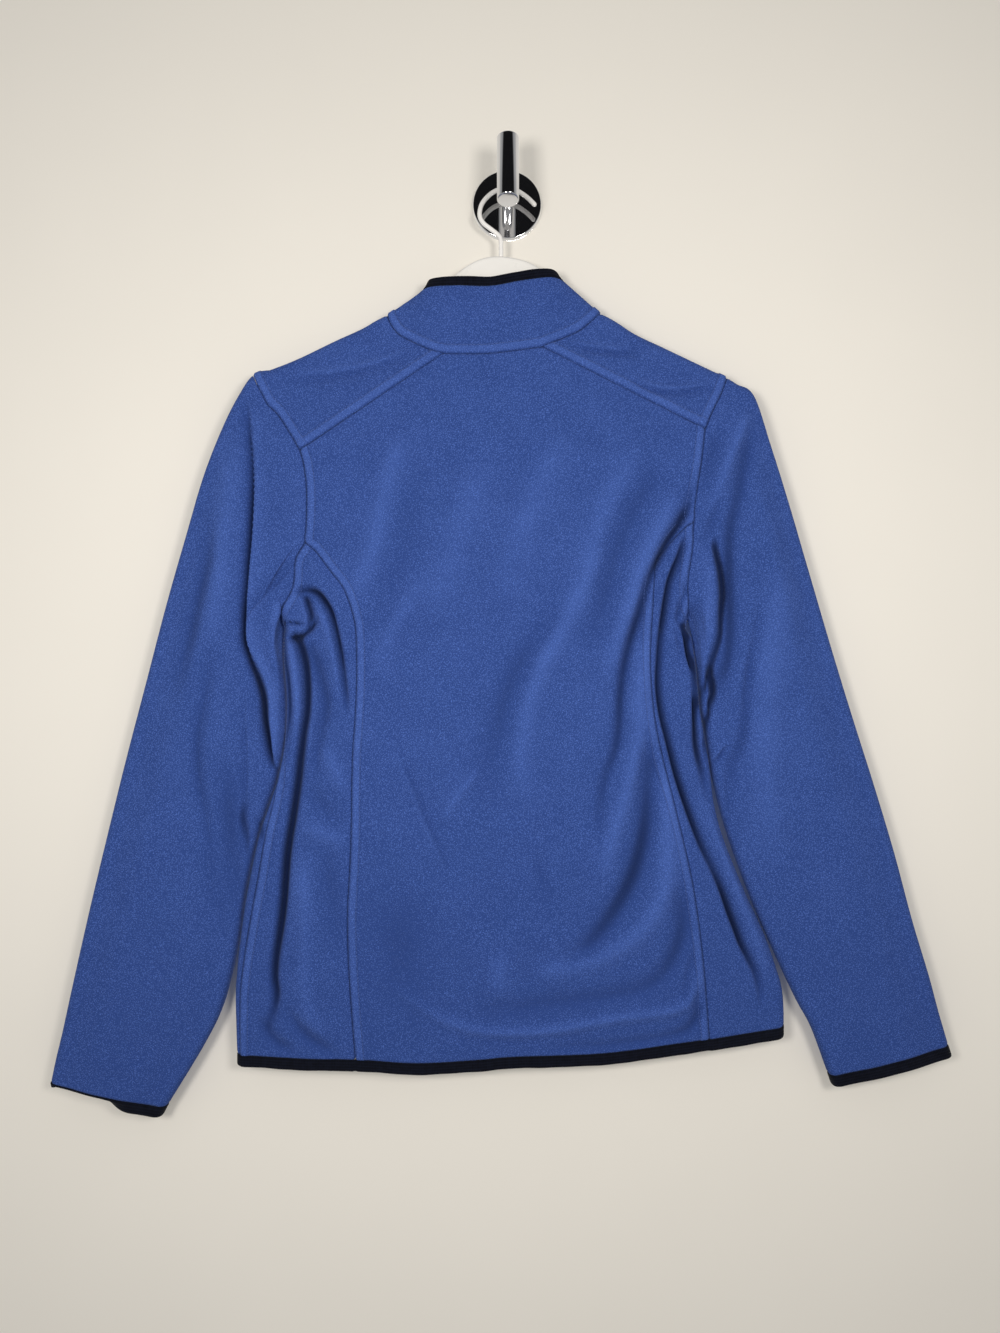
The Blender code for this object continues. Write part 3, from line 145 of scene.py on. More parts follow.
# z, then distance over the cloth from the left and the right edge
SIDE_SEAM = [(-760, 8, -10), (-690, 11, -10), (-640, 13, -10), (-590, 13, -10), (-540, 8, -10), (-500, 0, -10),
             (-440, -5, -8), (-370, -6, -4)]
PRINCESS_LEFT = [(-132.8, -761.2), (-136.3, -717), (-139, -670), (-139.5, -632), (-136.5, -576), (-135.5, -500),
                 (-133.5, -469), (-131.8, -434), (-132, -398), (-134, -377), (-142.5, -351.5), (-155.5, -334),
                 (-167.5, -318), (-177, -310)]
PRINCESS_RIGHT = [(177, -744.2), (172.7, -689), (168.8, -650.5), (163.6, -613), (155.7, -575.5), (146, -537),
                  (137.4, -501.5), (129.6, -464), (125.5, -416), (128, -369), (130.5, -333), (140, -315),
                  (154.5, -298), (163.6, -292)]
# up to the yoke seam, and from there to the shoulder
ARMHOLE_BACK_LEFT = [(-177, -310), (-175.3, -287), (-175.5, -262), (-178, -242), (-181.5, -229)]
ARMHOLE_YOKE_LEFT = [(-181.5, -229), (-191, -213), (-202, -196.5), (-215, -180), (-226, -160.3)]
ARMHOLE_BACK_RIGHT = [(163.6, -292), (164.4, -277), (167, -258), (170, -240), (173.5, -210)]
ARMHOLE_YOKE_RIGHT = [(173.5, -210), (179, -197), (185, -185), (190, -174), (194.5, -162.4)]
UNDERARM_LEFT = [(-197.6, -378), (-190.5, -353), (-186.5, -327), (-177, -310)]
UNDERARM_RIGHT = [(157.2, -378), (159.3, -355), (161.6, -325), (163.6, -292)]
ARMHOLE_FRONT_LEFT = [(-186, -350), (-173, -312), (-169, -268), (-176, -228), (-197, -192), (-218, -172),
                      (-226, -160.3)]
ARMHOLE_FRONT_RIGHT = [(152, -350), (145, -312), (142, -268), (149, -228), (168, -194), (186, -174),
                       (194.5, -162.4)]
# Back neck seam; the yoke seams join it at its fifth point from the left and its fourth from the right
NECK_BACK = [(-107, -107), (-98, -123.5), (-82, -133.4), (-67, -140.6), (-56.2, -143.4), (-46, -144), (-19, -144),
             (5, -141.4), (31, -137.6), (53, -128), (69, -118.6), (84, -106.2)]
NECK_JOINS = (4, 8)
NECK_FRONT_LEFT = [(-20.5, -192), (-55, -185), (-86, -165), (-102, -135), (-107, -107)]
NECK_FRONT_RIGHT = [(-7.5, -192), (31, -185), (62, -163), (78, -132), (84, -106.2)]
CENTRE_FRONT = [(-765, 3), (-192, -14)]
# share of the sleeve's length, outer x and z, inner x and z, half depth
SLEEVE_LEFT = [(0.00, -226, -160.3, -197.3, -378, 13), (0.03, -233, -170, -199.8, -378.2, 14),
               (0.09, -249, -200, -199.6, -392, 15.5), (0.16, -268, -247, -199.0, -407, 16.5),
               (0.24, -284, -300, -197.8, -424, 17), (0.32, -302, -362, -195.9, -450, 17),
               (0.42, -320, -431, -197.2, -484, 16.5), (0.52, -338, -500, -205.2, -521, 16),
               (0.62, -354, -565, -218.9, -562, 15.5), (0.72, -370, -632, -231, -614, 15),
               (0.82, -384, -694, -239.8, -672, 14), (0.90, -394, -740, -252, -720, 13.5),
               (0.95, -400, -765, -270, -757, 13), (1.00, -404.5, -786, -301, -808, 12.5)]
SLEEVE_RIGHT = [(0.00, 194.5, -162.4, 156.8, -378, 13), (0.03, 203, -168, 160.8, -378.2, 14),
                (0.09, 218, -178, 163.8, -394, 15.5), (0.16, 233, -222, 166.4, -410, 16.5),
                (0.24, 250, -275, 169.1, -430, 17), (0.32, 267, -332, 171.8, -456, 17),
                (0.42, 287, -400, 177.1, -488, 16.5), (0.52, 306, -462, 182.2, -520, 16),
                (0.62, 325, -522, 193, -562, 15.5), (0.72, 343, -582, 213, -618, 15),
                (0.82, 359, -642, 238, -676, 14), (0.90, 374, -692, 257, -716, 13.5),
                (0.95, 382, -722, 270, -740, 13), (1.00, 391, -753, 285, -780.5, 12.5)]
# share of the way round the neck, then x, y and z of the collar's top edge
COLLAR_TOP = [(0.00, -20.5, -10.5, -134), (0.12, -52, -10.5, -112), (0.22, -71, -12, -92.5),
              (0.28, -75.5, -20, -85), (0.34, -69, -28.5, -83.3), (0.42, -45, -34, -84), (0.50, -15, -35, -84.8),
              (0.58, 12, -34.5, -80), (0.66, 40, -30, -75.3), (0.72, 51.5, -20, -77.5), (0.78, 47, -12, -87),
              (0.88, 28, -10.5, -110), (1.00, -7.5, -10.5, -134)]

shoulder_line, core_depth, middle = curve_of(SHOULDER_LINE), curve_of(BODY_DEPTH), curve_of(BODY_MIDDLE)
left_edge, right_edge = curve_of(BODY_EDGES), curve_of(BODY_EDGES, 2)
hem_back, hem_front, centre_front = curve_of(HEM_BACK), curve_of(HEM_FRONT), curve_of(CENTRE_FRONT)
LEFT = {"name": "left", "sign": 1.0, "edge": left_edge, "princess": PRINCESS_LEFT, "armhole": ARMHOLE_BACK_LEFT,
        "yoke_armhole": ARMHOLE_YOKE_LEFT, "underarm": UNDERARM_LEFT, "armhole_front": ARMHOLE_FRONT_LEFT,
        "neck_front": NECK_FRONT_LEFT, "join": NECK_BACK[NECK_JOINS[0]], "sleeve": SLEEVE_LEFT,
        "low": HEM_BACK[0][1], "seam": curve_of(SIDE_SEAM, 1)}
RIGHT = {"name": "right", "sign": -1.0, "edge": right_edge, "princess": PRINCESS_RIGHT,
         "armhole": ARMHOLE_BACK_RIGHT, "yoke_armhole": ARMHOLE_YOKE_RIGHT, "underarm": UNDERARM_RIGHT,
         "armhole_front": ARMHOLE_FRONT_RIGHT, "neck_front": NECK_FRONT_RIGHT, "join": NECK_BACK[NECK_JOINS[1]],
         "sleeve": SLEEVE_RIGHT, "low": HEM_BACK[-1][1], "seam": curve_of(SIDE_SEAM, 2)}
print("Hem width:", BODY_EDGES[-1][2] - BODY_EDGES[-1][1], "mm; back length from the neck:",
      round(NECK_BACK[5][1] - HEM_BACK[4][1]), "mm")

# %% [markdown]
# ## The body as a flattened tube
#
# On the hanger the body is a tube squashed almost flat, 35 mm deep at the chest, whose cloth turns round at
# the side edges and over the shoulders. A place on it is (x, z, sheet), with sheet -1 for the back that
# shows and +1 for the front against the wall. The half depth follows a rounded corner near the outline, so
# both sheets meet there.

# %% Depth of the body and places on it
CLOTH, RIB = 2.0, 2.4       # thickness of the fleece and of the folded knit
GAP, CLEARANCE = 0.15, 0.7  # from a piece's border to its seam, and between body and sleeve
TURN = 9.0                  # radius of the turn at the edges
CORNER = 2.6                # power of the turn: 2 is a circle, more is squarer
RAMP = 80.0                 # distance over which the body thickens
FRONT, BACK = 1.0, -1.0
HANG_Y = -20.0              # plane of the hanger and the sleeves
PROBE = 0.5                 # step to each side that a slope is measured over


def near_outline(x, z):
    """Distance inside the body's outline: the least of the distances to both edges and the shoulder line."""
    return np.minimum(np.minimum(x - left_edge(z), right_edge(z) - x) - CLEARANCE, shoulder_line(x) - z)


def depth_power(x, z):
    """The half depth raised to CORNER: full^n (1 - (1 - d/r)^n) within the turn, full^n further in."""
    side = np.minimum(x - left_edge(z), right_edge(z) - x) - CLEARANCE
    full = TURN + (core_depth(shoulder_line(x) - z) - TURN) * smooth((side - TURN) / RAMP)
    short = np.clip(1 - near_outline(x, z) / TURN, 0, 1.2)
    return full ** CORNER * (1 - short ** CORNER)


def place(places):
    """Points and outward normals; the normal is the gradient of sheet * (y - middle)^n + depth^n."""
    x, z, sheet = np.moveaxis(places, -1, 0)
    half = np.maximum(depth_power(x, z), 0) ** (1 / CORNER)
    slope_x = depth_power(x + PROBE, z) - depth_power(x - PROBE, z)
    slope_z = depth_power(x, z + PROBE) - depth_power(x, z - PROBE)
    normals = np.stack([-slope_x, CORNER * half ** (CORNER - 1) * sheet, -slope_z], -1)
    return np.stack([x, middle(z) + sheet * half, z], -1), unit(normals)


def unroll(depth):
    """Distance over the cloth from an edge to a place this far inside the outline: an arc, then a straight."""
    arc = np.arccos(np.clip(1 - depth / TURN, -1, 1)) * TURN
    return np.where(depth < TURN, arc, depth - TURN + TURN * math.pi / 2)


def roll(distance):
    """The other way round: how far inside the outline a place lies, and on which sheet."""
    bend = np.minimum(np.abs(distance) / TURN, math.pi / 2)
    depth = TURN * (1 - np.cos(bend)) + np.maximum(np.abs(distance) - TURN * math.pi / 2, 0)
    return depth, np.where(distance >= 0, FRONT, BACK)


SPARE = TURN * (math.pi / 2 - 1)      # cloth used by a turn beyond its width


def flat_height(x, z, sheet):
    """Height of a place in the flat front pattern, which carries on over the shoulder."""
    return shoulder_line(x) + SPARE - sheet * unroll(shoulder_line(x) - z)


def from_front_pattern(side, across, height):
    """Places of a flat front pattern wrapped round the side edge and over the shoulder."""
    edge = side["edge"](height) + side["sign"] * CLEARANCE
    inward, side_sheet = roll(side["sign"] * (across - edge) + SPARE)
    x = edge + side["sign"] * inward
    drop, top_sheet = roll(shoulder_line(x) + SPARE - height)
    z = np.where((drop > TURN) & (top_sheet > 0), height, shoulder_line(x) - drop)
    return np.stack([x, z, np.minimum(side_sheet, top_sheet)], -1)


def from_edge(side, distance, z):
    """Places at a distance over the cloth from the side edge; positive is on the back."""
    inward, sheet = roll(-distance)
    return np.stack([side["edge"](z) + side["sign"] * (CLEARANCE + inward), z, sheet], -1)


def edge_distance(side, x, z):
    """Distance over the back from the side edge."""
    return unroll(side["sign"] * (x - side["edge"](z)) - CLEARANCE)


print("Body depth at the chest:", 2 * float(core_depth(CHEST_DROP)), "mm")

# %% [markdown]
# ## Folds
#
# A fold in soft cloth is uneven: one side rises slowly and the other drops under it. So every row below is
# (height, width) on the route's left and on its right, looking from its start to its end, and then the
# route as (x, z, strength). Heights are in millimetres and stand out from the cloth; a minus sinks in. Each
# side dies away as exp(-(distance / width)^2), and a narrow lip joins the two. A swell or a hollow has the
# same on both sides. The height of all folds at a point is also kept for the fleece's colour, which gets
# painted shade in a fold and a painted highlight on a ridge.

# %% Routes of the folds
FOLDS = [
    # left sleeve, front crease
    ((2, 9), (-9.5, 4.6), [(-229.5, -183.4, 0), (-226.9, -198.2, 0.4), (-225.2, -215.7, 0.6),
     (-223.4, -233.2, 0.7), (-222.1, -255.1, 0.8), (-222.5, -281.4, 0.9), (-223.8, -307.6, 0.9),
     (-225.6, -329.5, 0.85), (-226.9, -347, 0.8), (-228.2, -364.5, 0.85), (-228.7, -382, 0.95),
     (-228.2, -395.1, 1), (-225.2, -405.6, 1.05), (-219.9, -417, 1.1), (-214.7, -430.1, 1.15),
     (-211.2, -445.9, 1.15), (-210.3, -465.1, 1.1), (-208.5, -482.6, 1), (-206.8, -497.5, 0.8),
     (-202.4, -508.9, 0.5), (-198.9, -519.4, 0)]),
    # left sleeve, lump
    ((1.6, 5), (1.6, 5), [(-219.9, -390.7, 0), (-214.7, -408.2, 1), (-208.5, -428.4, 1), (-205, -452, 1),
     (-203.3, -478.2, 0.8), (-200.7, -504.5, 0)]),
    # left sleeve, edge swell; faded out of the cloth near the outline, it mostly paints a highlight
    ((5, 4.5), (5, 4.5), [(-201.5, -358.4, 0), (-201.5, -368.9, 0.8), (-201.5, -386.4, 1),
     (-201.1, -402.1, 0.8), (-199.8, -419.6, 0)]),
    # left sleeve, long valley
    ((-3.5, 7), (-3.5, 7), [(-261, -285.7, 0), (-262.8, -312, 0.6), (-265.4, -332.1, 1), (-274.4, -371.5, 1),
     (-278.9, -392.5, 1), (-288.1, -424.9, 0.5), (-295.1, -452, 0)]),
    # left sleeve, roll
    ((2.2, 10), (2.2, 10), [(-239.2, -220.1, 0), (-244.4, -255.1, 1), (-249.7, -325.1, 1),
     (-256.6, -377.6, 0.8), (-264.5, -412.6, 0)]),
    # left sleeve, lower thin crease
    ((-2, 5), (-3, 6), [(-256.6, -395.1, 0), (-259.3, -412.6, 0.5), (-262.8, -442.4, 0.9),
     (-269.8, -478.2, 1.1), (-269.8, -505.4, 1.2), (-266.3, -535.1, 1), (-263.6, -545.6, 0.9),
     (-259.3, -576.2, 0.7), (-255.8, -613.9, 0.5), (-249.9, -636.6, 0.3), (-246.2, -662, 0)]),
    # left sleeve, inner thin crease
    ((1, 5), (-2.2, 5), [(-228.7, -438.9, 0), (-228.7, -465.1, 0.6), (-227.8, -495.7, 0.8),
     (-228.7, -526.4, 0.8), (-230.4, -537.7, 0)]),
    # left sleeve, elbow notch
    ((-4, 2.6), (-4.5, 2.8), [(-228.7, -528.1, 0), (-230.4, -539.5, 0.6), (-232.2, -550.9, 1),
     (-231.3, -561.4, 1), (-229.5, -571.9, 0.8), (-228.2, -583.2, 0.6), (-226.9, -598.1, 0)]),
    # left sleeve, gap notch
    ((-5, 2.6), (-5, 3), [(-222.5, -550.9, 0), (-219, -556.1, 0.8), (-216.8, -561.4, 1), (-217.3, -568.4, 0.8),
     (-219, -577.1, 0)]),
    # left sleeve, lower valley
    ((-2.8, 9), (-2.8, 9), [(-246.2, -495.7, 0), (-243.5, -535.1, 1), (-240.9, -578.9, 1),
     (-239.2, -622.6, 0.6), (-237.4, -648.9, 0)]),
    # left underarm seam
    ((0.6, 4), (-2.2, 7), [(-184, -325.1, 0), (-190.2, -333.9, 0.6), (-198, -342.6, 1), (-205.9, -351.4, 1),
     (-214.7, -360.1, 1), (-222.5, -368.9, 1), (-226, -375.9, 0.6), (-227.8, -382, 0)]),
    # left side edge
    ((-8, 2.6), (0.8, 4), [(-198, -360.1, 0), (-198.2, -370.6, 0.5), (-197.9, -379.4, 1), (-198, -388.1, 1),
     (-197.6, -402.1, 1), (-196.3, -416.1, 1), (-194.5, -430.1, 1), (-193.2, -447.6, 1), (-193.2, -461.6, 0.9),
     (-194.5, -473.9, 0.7), (-196.3, -487, 0.5), (-198, -504.5, 0.3), (-198.9, -526.4, 0.2),
     (-199.8, -535.1, 0)]),
    # left pinch, ledge
    ((1.8, 3.2), (-7, 1.7), [(-198, -378.1, 0), (-195.4, -378.5, 1), (-190.2, -378.8, 1), (-183.2, -379.4, 1),
     (-177.9, -380.4, 0.6), (-175.3, -381.1, 0)]),
    # left pinch, lower edge
    ((1.8, 3.2), (-8, 3.8), [(-193.7, -390.7, 0), (-190.2, -391.2, 1), (-184, -390.7, 1), (-178.8, -387.7, 1),
     (-174.4, -383.7, 0.8), (-170, -378.5, 0.4), (-167.4, -372.4, 0)]),
    # left side strip
    ((4.2, 4.5), (4.2, 4.5), [(-193.7, -388.1, 0), (-191, -396.9, 0.8), (-188.4, -408.2, 1),
     (-186.7, -423.1, 1), (-184.9, -438.9, 1), (-184, -456.4, 0.8), (-184, -473.9, 0.4), (-184.9, -500.1, 0)]),
    # left deep fold
    ((-8.5, 4.2), (-8.5, 2.8), [(-191, -389.9, 0), (-186.7, -392.5, 0.9), (-183.2, -399.5, 1),
     (-180.5, -408.2, 1), (-177.9, -419.6, 1), (-176.6, -434.5, 1), (-176.6, -447.6, 1), (-177.5, -460.7, 1),
     (-179.7, -473.9, 1), (-181.4, -487, 1), (-183.2, -501.9, 1), (-184.9, -517.6, 1.05), (-187.5, -535.1, 1.1),
     (-190.2, -552.6, 1.15), (-193.2, -570.1, 1.2), (-195.4, -587.6, 1.25), (-196.7, -605.1, 1.25),
     (-198, -622.6, 1.25), (-199.8, -640.1, 1.2), (-202.4, -657.6, 1.1), (-205, -675.1, 1),
     (-205.9, -692.6, 0.95), (-204.2, -705.7, 0.85), (-205.9, -718.9, 0.6), (-209.4, -729.4, 0.4),
     (-211.2, -739.9, 0)]),
    # left underarm hollow
    ((-7.5, 5), (2.2, 2.4), [(-180.5, -354, 0), (-178.8, -360.1, 1), (-177, -366.2, 1), (-175.3, -372.4, 1),
     (-174.8, -377.6, 0.9), (-175.7, -382.9, 0.4), (-177.9, -387.2, 0)]),
    # left pinch, knot
    ((1.8, 3.4), (1.8, 3.4), [(-195.4, -384.6, 0), (-188.4, -385.1, 1), (-181.4, -384.2, 1),
     (-177.9, -380.2, 0.8), (-178.8, -370.6, 0.6), (-183.2, -361.9, 0.6), (-185.8, -357.5, 0)]),
    # left underarm crease
    ((-7, 2.4), (-8.5, 2.6), [(-188.4, -354, 0), (-182.3, -351.8, 0.6), (-176.2, -350.9, 0.8),
     (-170, -352.2, 1.1), (-164.8, -355.7, 1.2), (-159.5, -362.7, 1.2), (-155.2, -370.6, 1.1),
     (-152.5, -379.4, 1), (-149.9, -389.9, 1), (-147.7, -400.4, 1), (-145.5, -412.6, 0.9),
     (-143.8, -424.9, 0.75), (-142, -438.9, 0.6), (-141.2, -449.4, 0.4), (-140.3, -460.7, 0)]),
    # left underarm roll
    ((2.2, 4.5), (2.2, 4.5), [(-170.9, -362.7, 0), (-163.9, -371.5, 1), (-157.8, -386.4, 1),
     (-153.4, -403.9, 1), (-149.9, -421.4, 0.8), (-147.3, -438.9, 0)]),
    # left soft valley
    ((-3.8, 5), (-3.8, 5), [(-177, -393.4, 0), (-172.7, -402.1, 0.8), (-167.4, -416.1, 1), (-163, -431.9, 1),
     (-159.5, -447.6, 1), (-160.4, -461.6, 0.9), (-163.9, -475.6, 0.8), (-167.4, -491.4, 0.7),
     (-168.3, -507.1, 0.4), (-169.2, -522, 0)]),
    # left roll below
    ((1.6, 4), (1.6, 4), [(-174.4, -412.6, 0), (-170.9, -438.9, 1), (-171.8, -460.7, 1), (-174.4, -482.6, 0.8),
     (-177, -508.9, 0)]),
    # left panel, light 1
    ((2.2, 7), (2.2, 7), [(-167.4, -484.4, 0), (-157.8, -495.7, 0.9), (-151.7, -507.1, 1), (-145.5, -522, 0.8),
     (-141.2, -535.1, 0)]),
    # left panel, hollow 1
    ((-2.2, 7), (-2.2, 7), [(-178.8, -522, 0), (-169.2, -530.7, 1), (-159.5, -543.9, 1), (-149, -554.4, 0.5),
     (-142, -559.6, 0)]),
    # left panel, light 2
    ((2, 6), (2, 6), [(-183.2, -554.4, 0), (-168.3, -563.1, 1), (-150.8, -568.4, 1), (-140.3, -571.9, 0)]),
    # left panel, hollow 2
    ((-2.2, 9), (-2.2, 9), [(-155.2, -577.1, 0), (-156.9, -596.4, 1), (-153.4, -622.6, 1),
     (-148.2, -648.9, 0.8), (-146.4, -675.1, 0)]),
    # left panel, light 3
    ((2.4, 8), (2.4, 8), [(-180.5, -574.5, 0), (-179.7, -605.1, 1), (-177.9, -631.4, 1), (-177, -657.6, 0.8),
     (-178.8, -692.6, 0.6), (-174.4, -717.1, 0.7), (-163.9, -734.6, 0.6), (-150.8, -743.4, 0)]),
    # left hem diagonal
    ((-3.5, 5), (-3.5, 5), [(-195.4, -715.4, 0), (-188.4, -727.6, 0.7), (-181.4, -736.4, 1),
     (-170.9, -745.1, 1), (-159.5, -752.1, 0.8), (-150.8, -757.4, 0.3)]),
    # left hem hollow
    ((-3.5, 5), (-3.5, 5), [(-217.3, -725.9, 0), (-212.9, -736.4, 1), (-205.9, -746, 1), (-196.3, -752.1, 0.9),
     (-186.7, -755.6, 0)]),
    # right deep fold
    ((-7, 3.6), (-7.5, 2.2), [(157.2, -304.1, 0), (154.2, -312, 0.7), (151.1, -321.6, 0.9), (146.7, -332.1, 1),
     (142.3, -344.4, 1), (139.3, -360.1, 1), (136.7, -377.6, 1), (134.5, -395.1, 0.9), (133.2, -412.6, 0.9),
     (132.3, -430.1, 0.95), (133.6, -447.6, 1), (136.2, -463.4, 1), (140.2, -479.1, 1), (144.1, -494.9, 1.05),
     (148, -510.6, 1.1), (152.8, -526.4, 1.15), (158.1, -542.1, 1.1), (163.8, -557.9, 1.05),
     (169.5, -572.7, 0.95), (175.6, -585.9, 0.85), (180.8, -596.4, 0.8), (186.1, -608.6, 0.95),
     (190.5, -620, 1.1), (195.7, -634.9, 1.2), (201, -648.9, 1.2), (206.2, -662.9, 1.1), (212.3, -675.1, 0.9),
     (218.5, -688.2, 0.7), (222, -701.4, 0.5), (223.7, -712.7, 0.2), (224.6, -720.6, 0)]),
    # right strip
    ((2.2, 5), (2.2, 5), [(168.6, -526.4, 0), (179.1, -557, 0.8), (189.6, -583.2, 1), (200.1, -609.5, 1),
     (212.3, -640.1, 1), (222.8, -670.7, 0.8), (229.8, -701.4, 0)]),
    # right underarm, thin
    ((-3.5, 2.2), (-3.5, 2.4), [(154.6, -339.1, 0), (156.8, -349.6, 0.8), (156.3, -354.9, 0.9),
     (152.8, -362.7, 0.9), (151.1, -370.6, 1), (150.2, -376.7, 0.8), (152, -381.1, 0)]),
    # right underarm, notch
    ((-9, 2.8), (-9, 2.8), [(152, -378.5, 0), (155.5, -382.9, 1), (158.1, -389.9, 1.2), (159, -399.5, 1),
     (160.7, -408.2, 1.1), (163.3, -416.1, 1.2), (165.1, -423.1, 0.8), (166, -438.9, 0.6), (166, -452, 0.9),
     (166, -465.1, 1), (166, -482.6, 0.9), (167.7, -495.7, 0.8), (170.3, -507.1, 0.6), (173.8, -522, 0.3),
     (179.1, -540.4, 0)]),
    # right underarm, soft
    ((-2.4, 2.8), (-2.4, 2.8), [(169.5, -357.5, 0), (166, -363.6, 0.8), (161.6, -369.7, 1),
     (158.1, -375.9, 0.8), (155.5, -381.1, 0)]),
    # right underarm, second
    ((-2, 2), (-2, 2), [(149.3, -381.1, 0), (149.8, -391.6, 1), (152, -402.1, 0.8), (153.7, -410.9, 0)]),
    # right sleeve, front crease
    ((-7, 2.8), (-7.5, 2.4), [(182.6, -304.1, 0), (181.7, -312, 0.8), (183.5, -321.6, 1), (185.7, -332.1, 1),
     (187, -342.6, 1), (187.8, -354.9, 1), (187, -367.1, 0.95), (186.1, -379.4, 0.95), (184.8, -391.6, 0.9),
     (181.7, -403.9, 0.85), (178.7, -414.4, 0.85), (176.5, -424.9, 0.8), (173, -437.1, 0.75),
     (169.9, -447.6, 0.6), (167.7, -456.4, 0)]),
    # right sleeve, lobe
    ((2.6, 6), (2.6, 6), [(174.7, -320.7, 0), (177.3, -351.4, 1), (176.5, -377.6, 1), (172.1, -403.9, 0.8),
     (169.5, -430.1, 0)]),
    # right sleeve, second crease
    ((-6.5, 2.6), (-7.5, 2.4), [(177.3, -416.1, 0), (178.7, -426.6, 0.7), (180, -437.1, 1),
     (180.4, -444.1, 1.1), (178.2, -452.9, 1), (176, -463.4, 1), (174.7, -475.6, 0.95), (174.3, -487.9, 0.8),
     (175.6, -498.4, 0.4), (176.5, -505.4, 0)]),
    # right sleeve, thin roll
    ((2.4, 2.6), (2.4, 2.6), [(173, -452, 0), (170.3, -465.1, 1), (169.9, -482.6, 1), (172.1, -495.7, 0.6),
     (174.7, -504.5, 0)]),
    # right sleeve, soft valley
    ((-4.6, 6), (-4.6, 6), [(218.5, -207, 0), (212.3, -224.5, 0.7), (206.2, -246.4, 0.8), (201.8, -272.6, 0.8),
     (196.6, -290.1, 0.9), (194, -312, 1), (193.1, -338.2, 1.1), (194, -364.5, 1.1), (194.8, -386.4, 1),
     (193.1, -405.6, 1), (188.7, -421.4, 0.9), (182.6, -435.4, 0.5), (179.1, -442.4, 0)]),
    # right sleeve, short hollow
    ((-2.2, 4), (-2.2, 4), [(187.8, -268.2, 0), (182.6, -283.1, 1), (176.5, -298.9, 1), (172.1, -314.6, 0)]),
    # right sleeve, upper ridge
    ((3.2, 5), (3.2, 5), [(213.2, -192.1, 0), (207.1, -206.1, 0.8), (200.1, -221.9, 1), (194, -237.6, 1),
     (187.8, -255.1, 0.8), (182.6, -272.6, 0.5), (177.3, -290.1, 0)]),
    # right sleeve, upper hollow
    ((-2.6, 5), (-2.6, 5), [(193.1, -207, 0), (185.2, -220.1, 0.8), (179.1, -234.1, 1), (173.8, -250.7, 0.8),
     (170.3, -272.6, 0)]),
    # right sleeve, hook fold
    ((1.2, 4), (-3.2, 3), [(174.7, -508.9, 0), (176.5, -506.2, 0.8), (180, -502.7, 1), (184.3, -499.2, 1),
     (187.8, -494, 0.9), (191.3, -489.6, 0.6), (195.7, -486.1, 0)]),
    # right sleeve, soft fold
    ((-3, 4.6), (-2.8, 3.6), [(219.3, -360.1, 0), (218.5, -377.6, 0.6), (216.3, -395.1, 0.8),
     (213.2, -410.9, 0.9), (210.6, -426.6, 1), (208.8, -442.4, 1), (207.1, -458.1, 1.1), (205.8, -472.1, 1.1),
     (204, -482.6, 1.1), (201, -492.2, 1), (197.5, -500.1, 0.9), (195.7, -508.9, 0.8), (195.3, -522, 0.7),
     (194.4, -535.1, 0.7), (194.8, -548.2, 0.6), (197.5, -559.6, 0.4), (200.1, -571.9, 0.2),
     (201.8, -583.2, 0)]),
    # right sleeve, outer swell
    ((2, 14), (2, 14), [(247.3, -325.1, 0), (235.1, -377.6, 1), (228.1, -430.1, 1), (224.6, -491.4, 1),
     (229.8, -561.4, 0.6), (238.6, -605.1, 0)]),
    # right back step
    ((-7, 3.2), (-6.5, 5), [(164.2, -244.6, 0), (161.6, -263.9, 0.4), (159, -277, 0.7), (154.6, -286.6, 1),
     (149.3, -296.2, 1.1), (142.3, -306.7, 1.15), (136.2, -317.2, 1.15), (131, -327.7, 1.1), (125.7, -340, 1),
     (122.2, -351.4, 0.95), (118.7, -363.6, 0.95), (115.2, -375.9, 1), (110.8, -388.1, 1), (107.3, -400.4, 0.9),
     (103.8, -414.4, 0.85), (101.2, -430.1, 0.8), (99.5, -447.6, 0.8), (98.6, -465.1, 0.75),
     (96.8, -482.6, 0.7), (92.5, -497.5, 0.65), (86.3, -513.2, 0.55), (82.8, -530.7, 0.5), (81.1, -548.2, 0.35),
     (80.2, -570.1, 0)]),
    # right back ridge
    ((4, 8), (4, 8), [(147.6, -263.9, 0), (137.1, -290.1, 0.8), (126.6, -312, 1), (116.1, -338.2, 1),
     (109.1, -360.1, 1), (100.3, -386.4, 0.8), (91.6, -412.6, 0.5), (86.3, -438.9, 0)]),
    # drape R0
    ((3.6, 7), (3.6, 7), [(121.3, -386.4, 0), (117.8, -421.4, 0.9), (116.1, -447.6, 1), (116.1, -473.9, 0.8),
     (109.1, -504.5, 1), (103, -530.7, 1), (95.1, -557, 1), (88.1, -583.2, 0.6), (81.1, -605.1, 0)]),
    # drape V1
    ((-5, 8.5), (-5, 8.5), [(125.7, -478.2, 0), (125.7, -500.1, 0.7), (124.8, -522, 0.9), (123.1, -543.9, 1),
     (119.6, -565.7, 1.1), (114.3, -585.9, 1.15), (108.2, -603.4, 1.15), (100.3, -620, 1.1), (90.7, -635.7, 1),
     (80.2, -650.6, 0.9), (68.8, -663.7, 0.7), (56.6, -672.5, 0.3), (46.1, -677.7, 0)]),
    # drape R1
    ((4, 9), (4, 9), [(131, -504.5, 0), (137.1, -535.1, 0.9), (140.6, -565.7, 1), (140.6, -592, 1),
     (136.2, -615.6, 1), (126.6, -635.7, 0.9), (112.6, -653.2, 0.8), (91.6, -667.2, 0.7), (68, -676.9, 0.6),
     (41.7, -683.9, 0.5), (19.9, -688.2, 0)]),
    # drape V3
    ((-4.2, 8), (-4.2, 8), [(152.8, -605.1, 0), (153.7, -622.6, 0.7), (153.7, -640.1, 0.9), (151.1, -655.9, 1),
     (145.8, -669.9, 1), (138.8, -682.1, 0.9), (129.2, -692.6, 0.8), (116.1, -699.6, 0.7), (94.2, -704.9, 0.65),
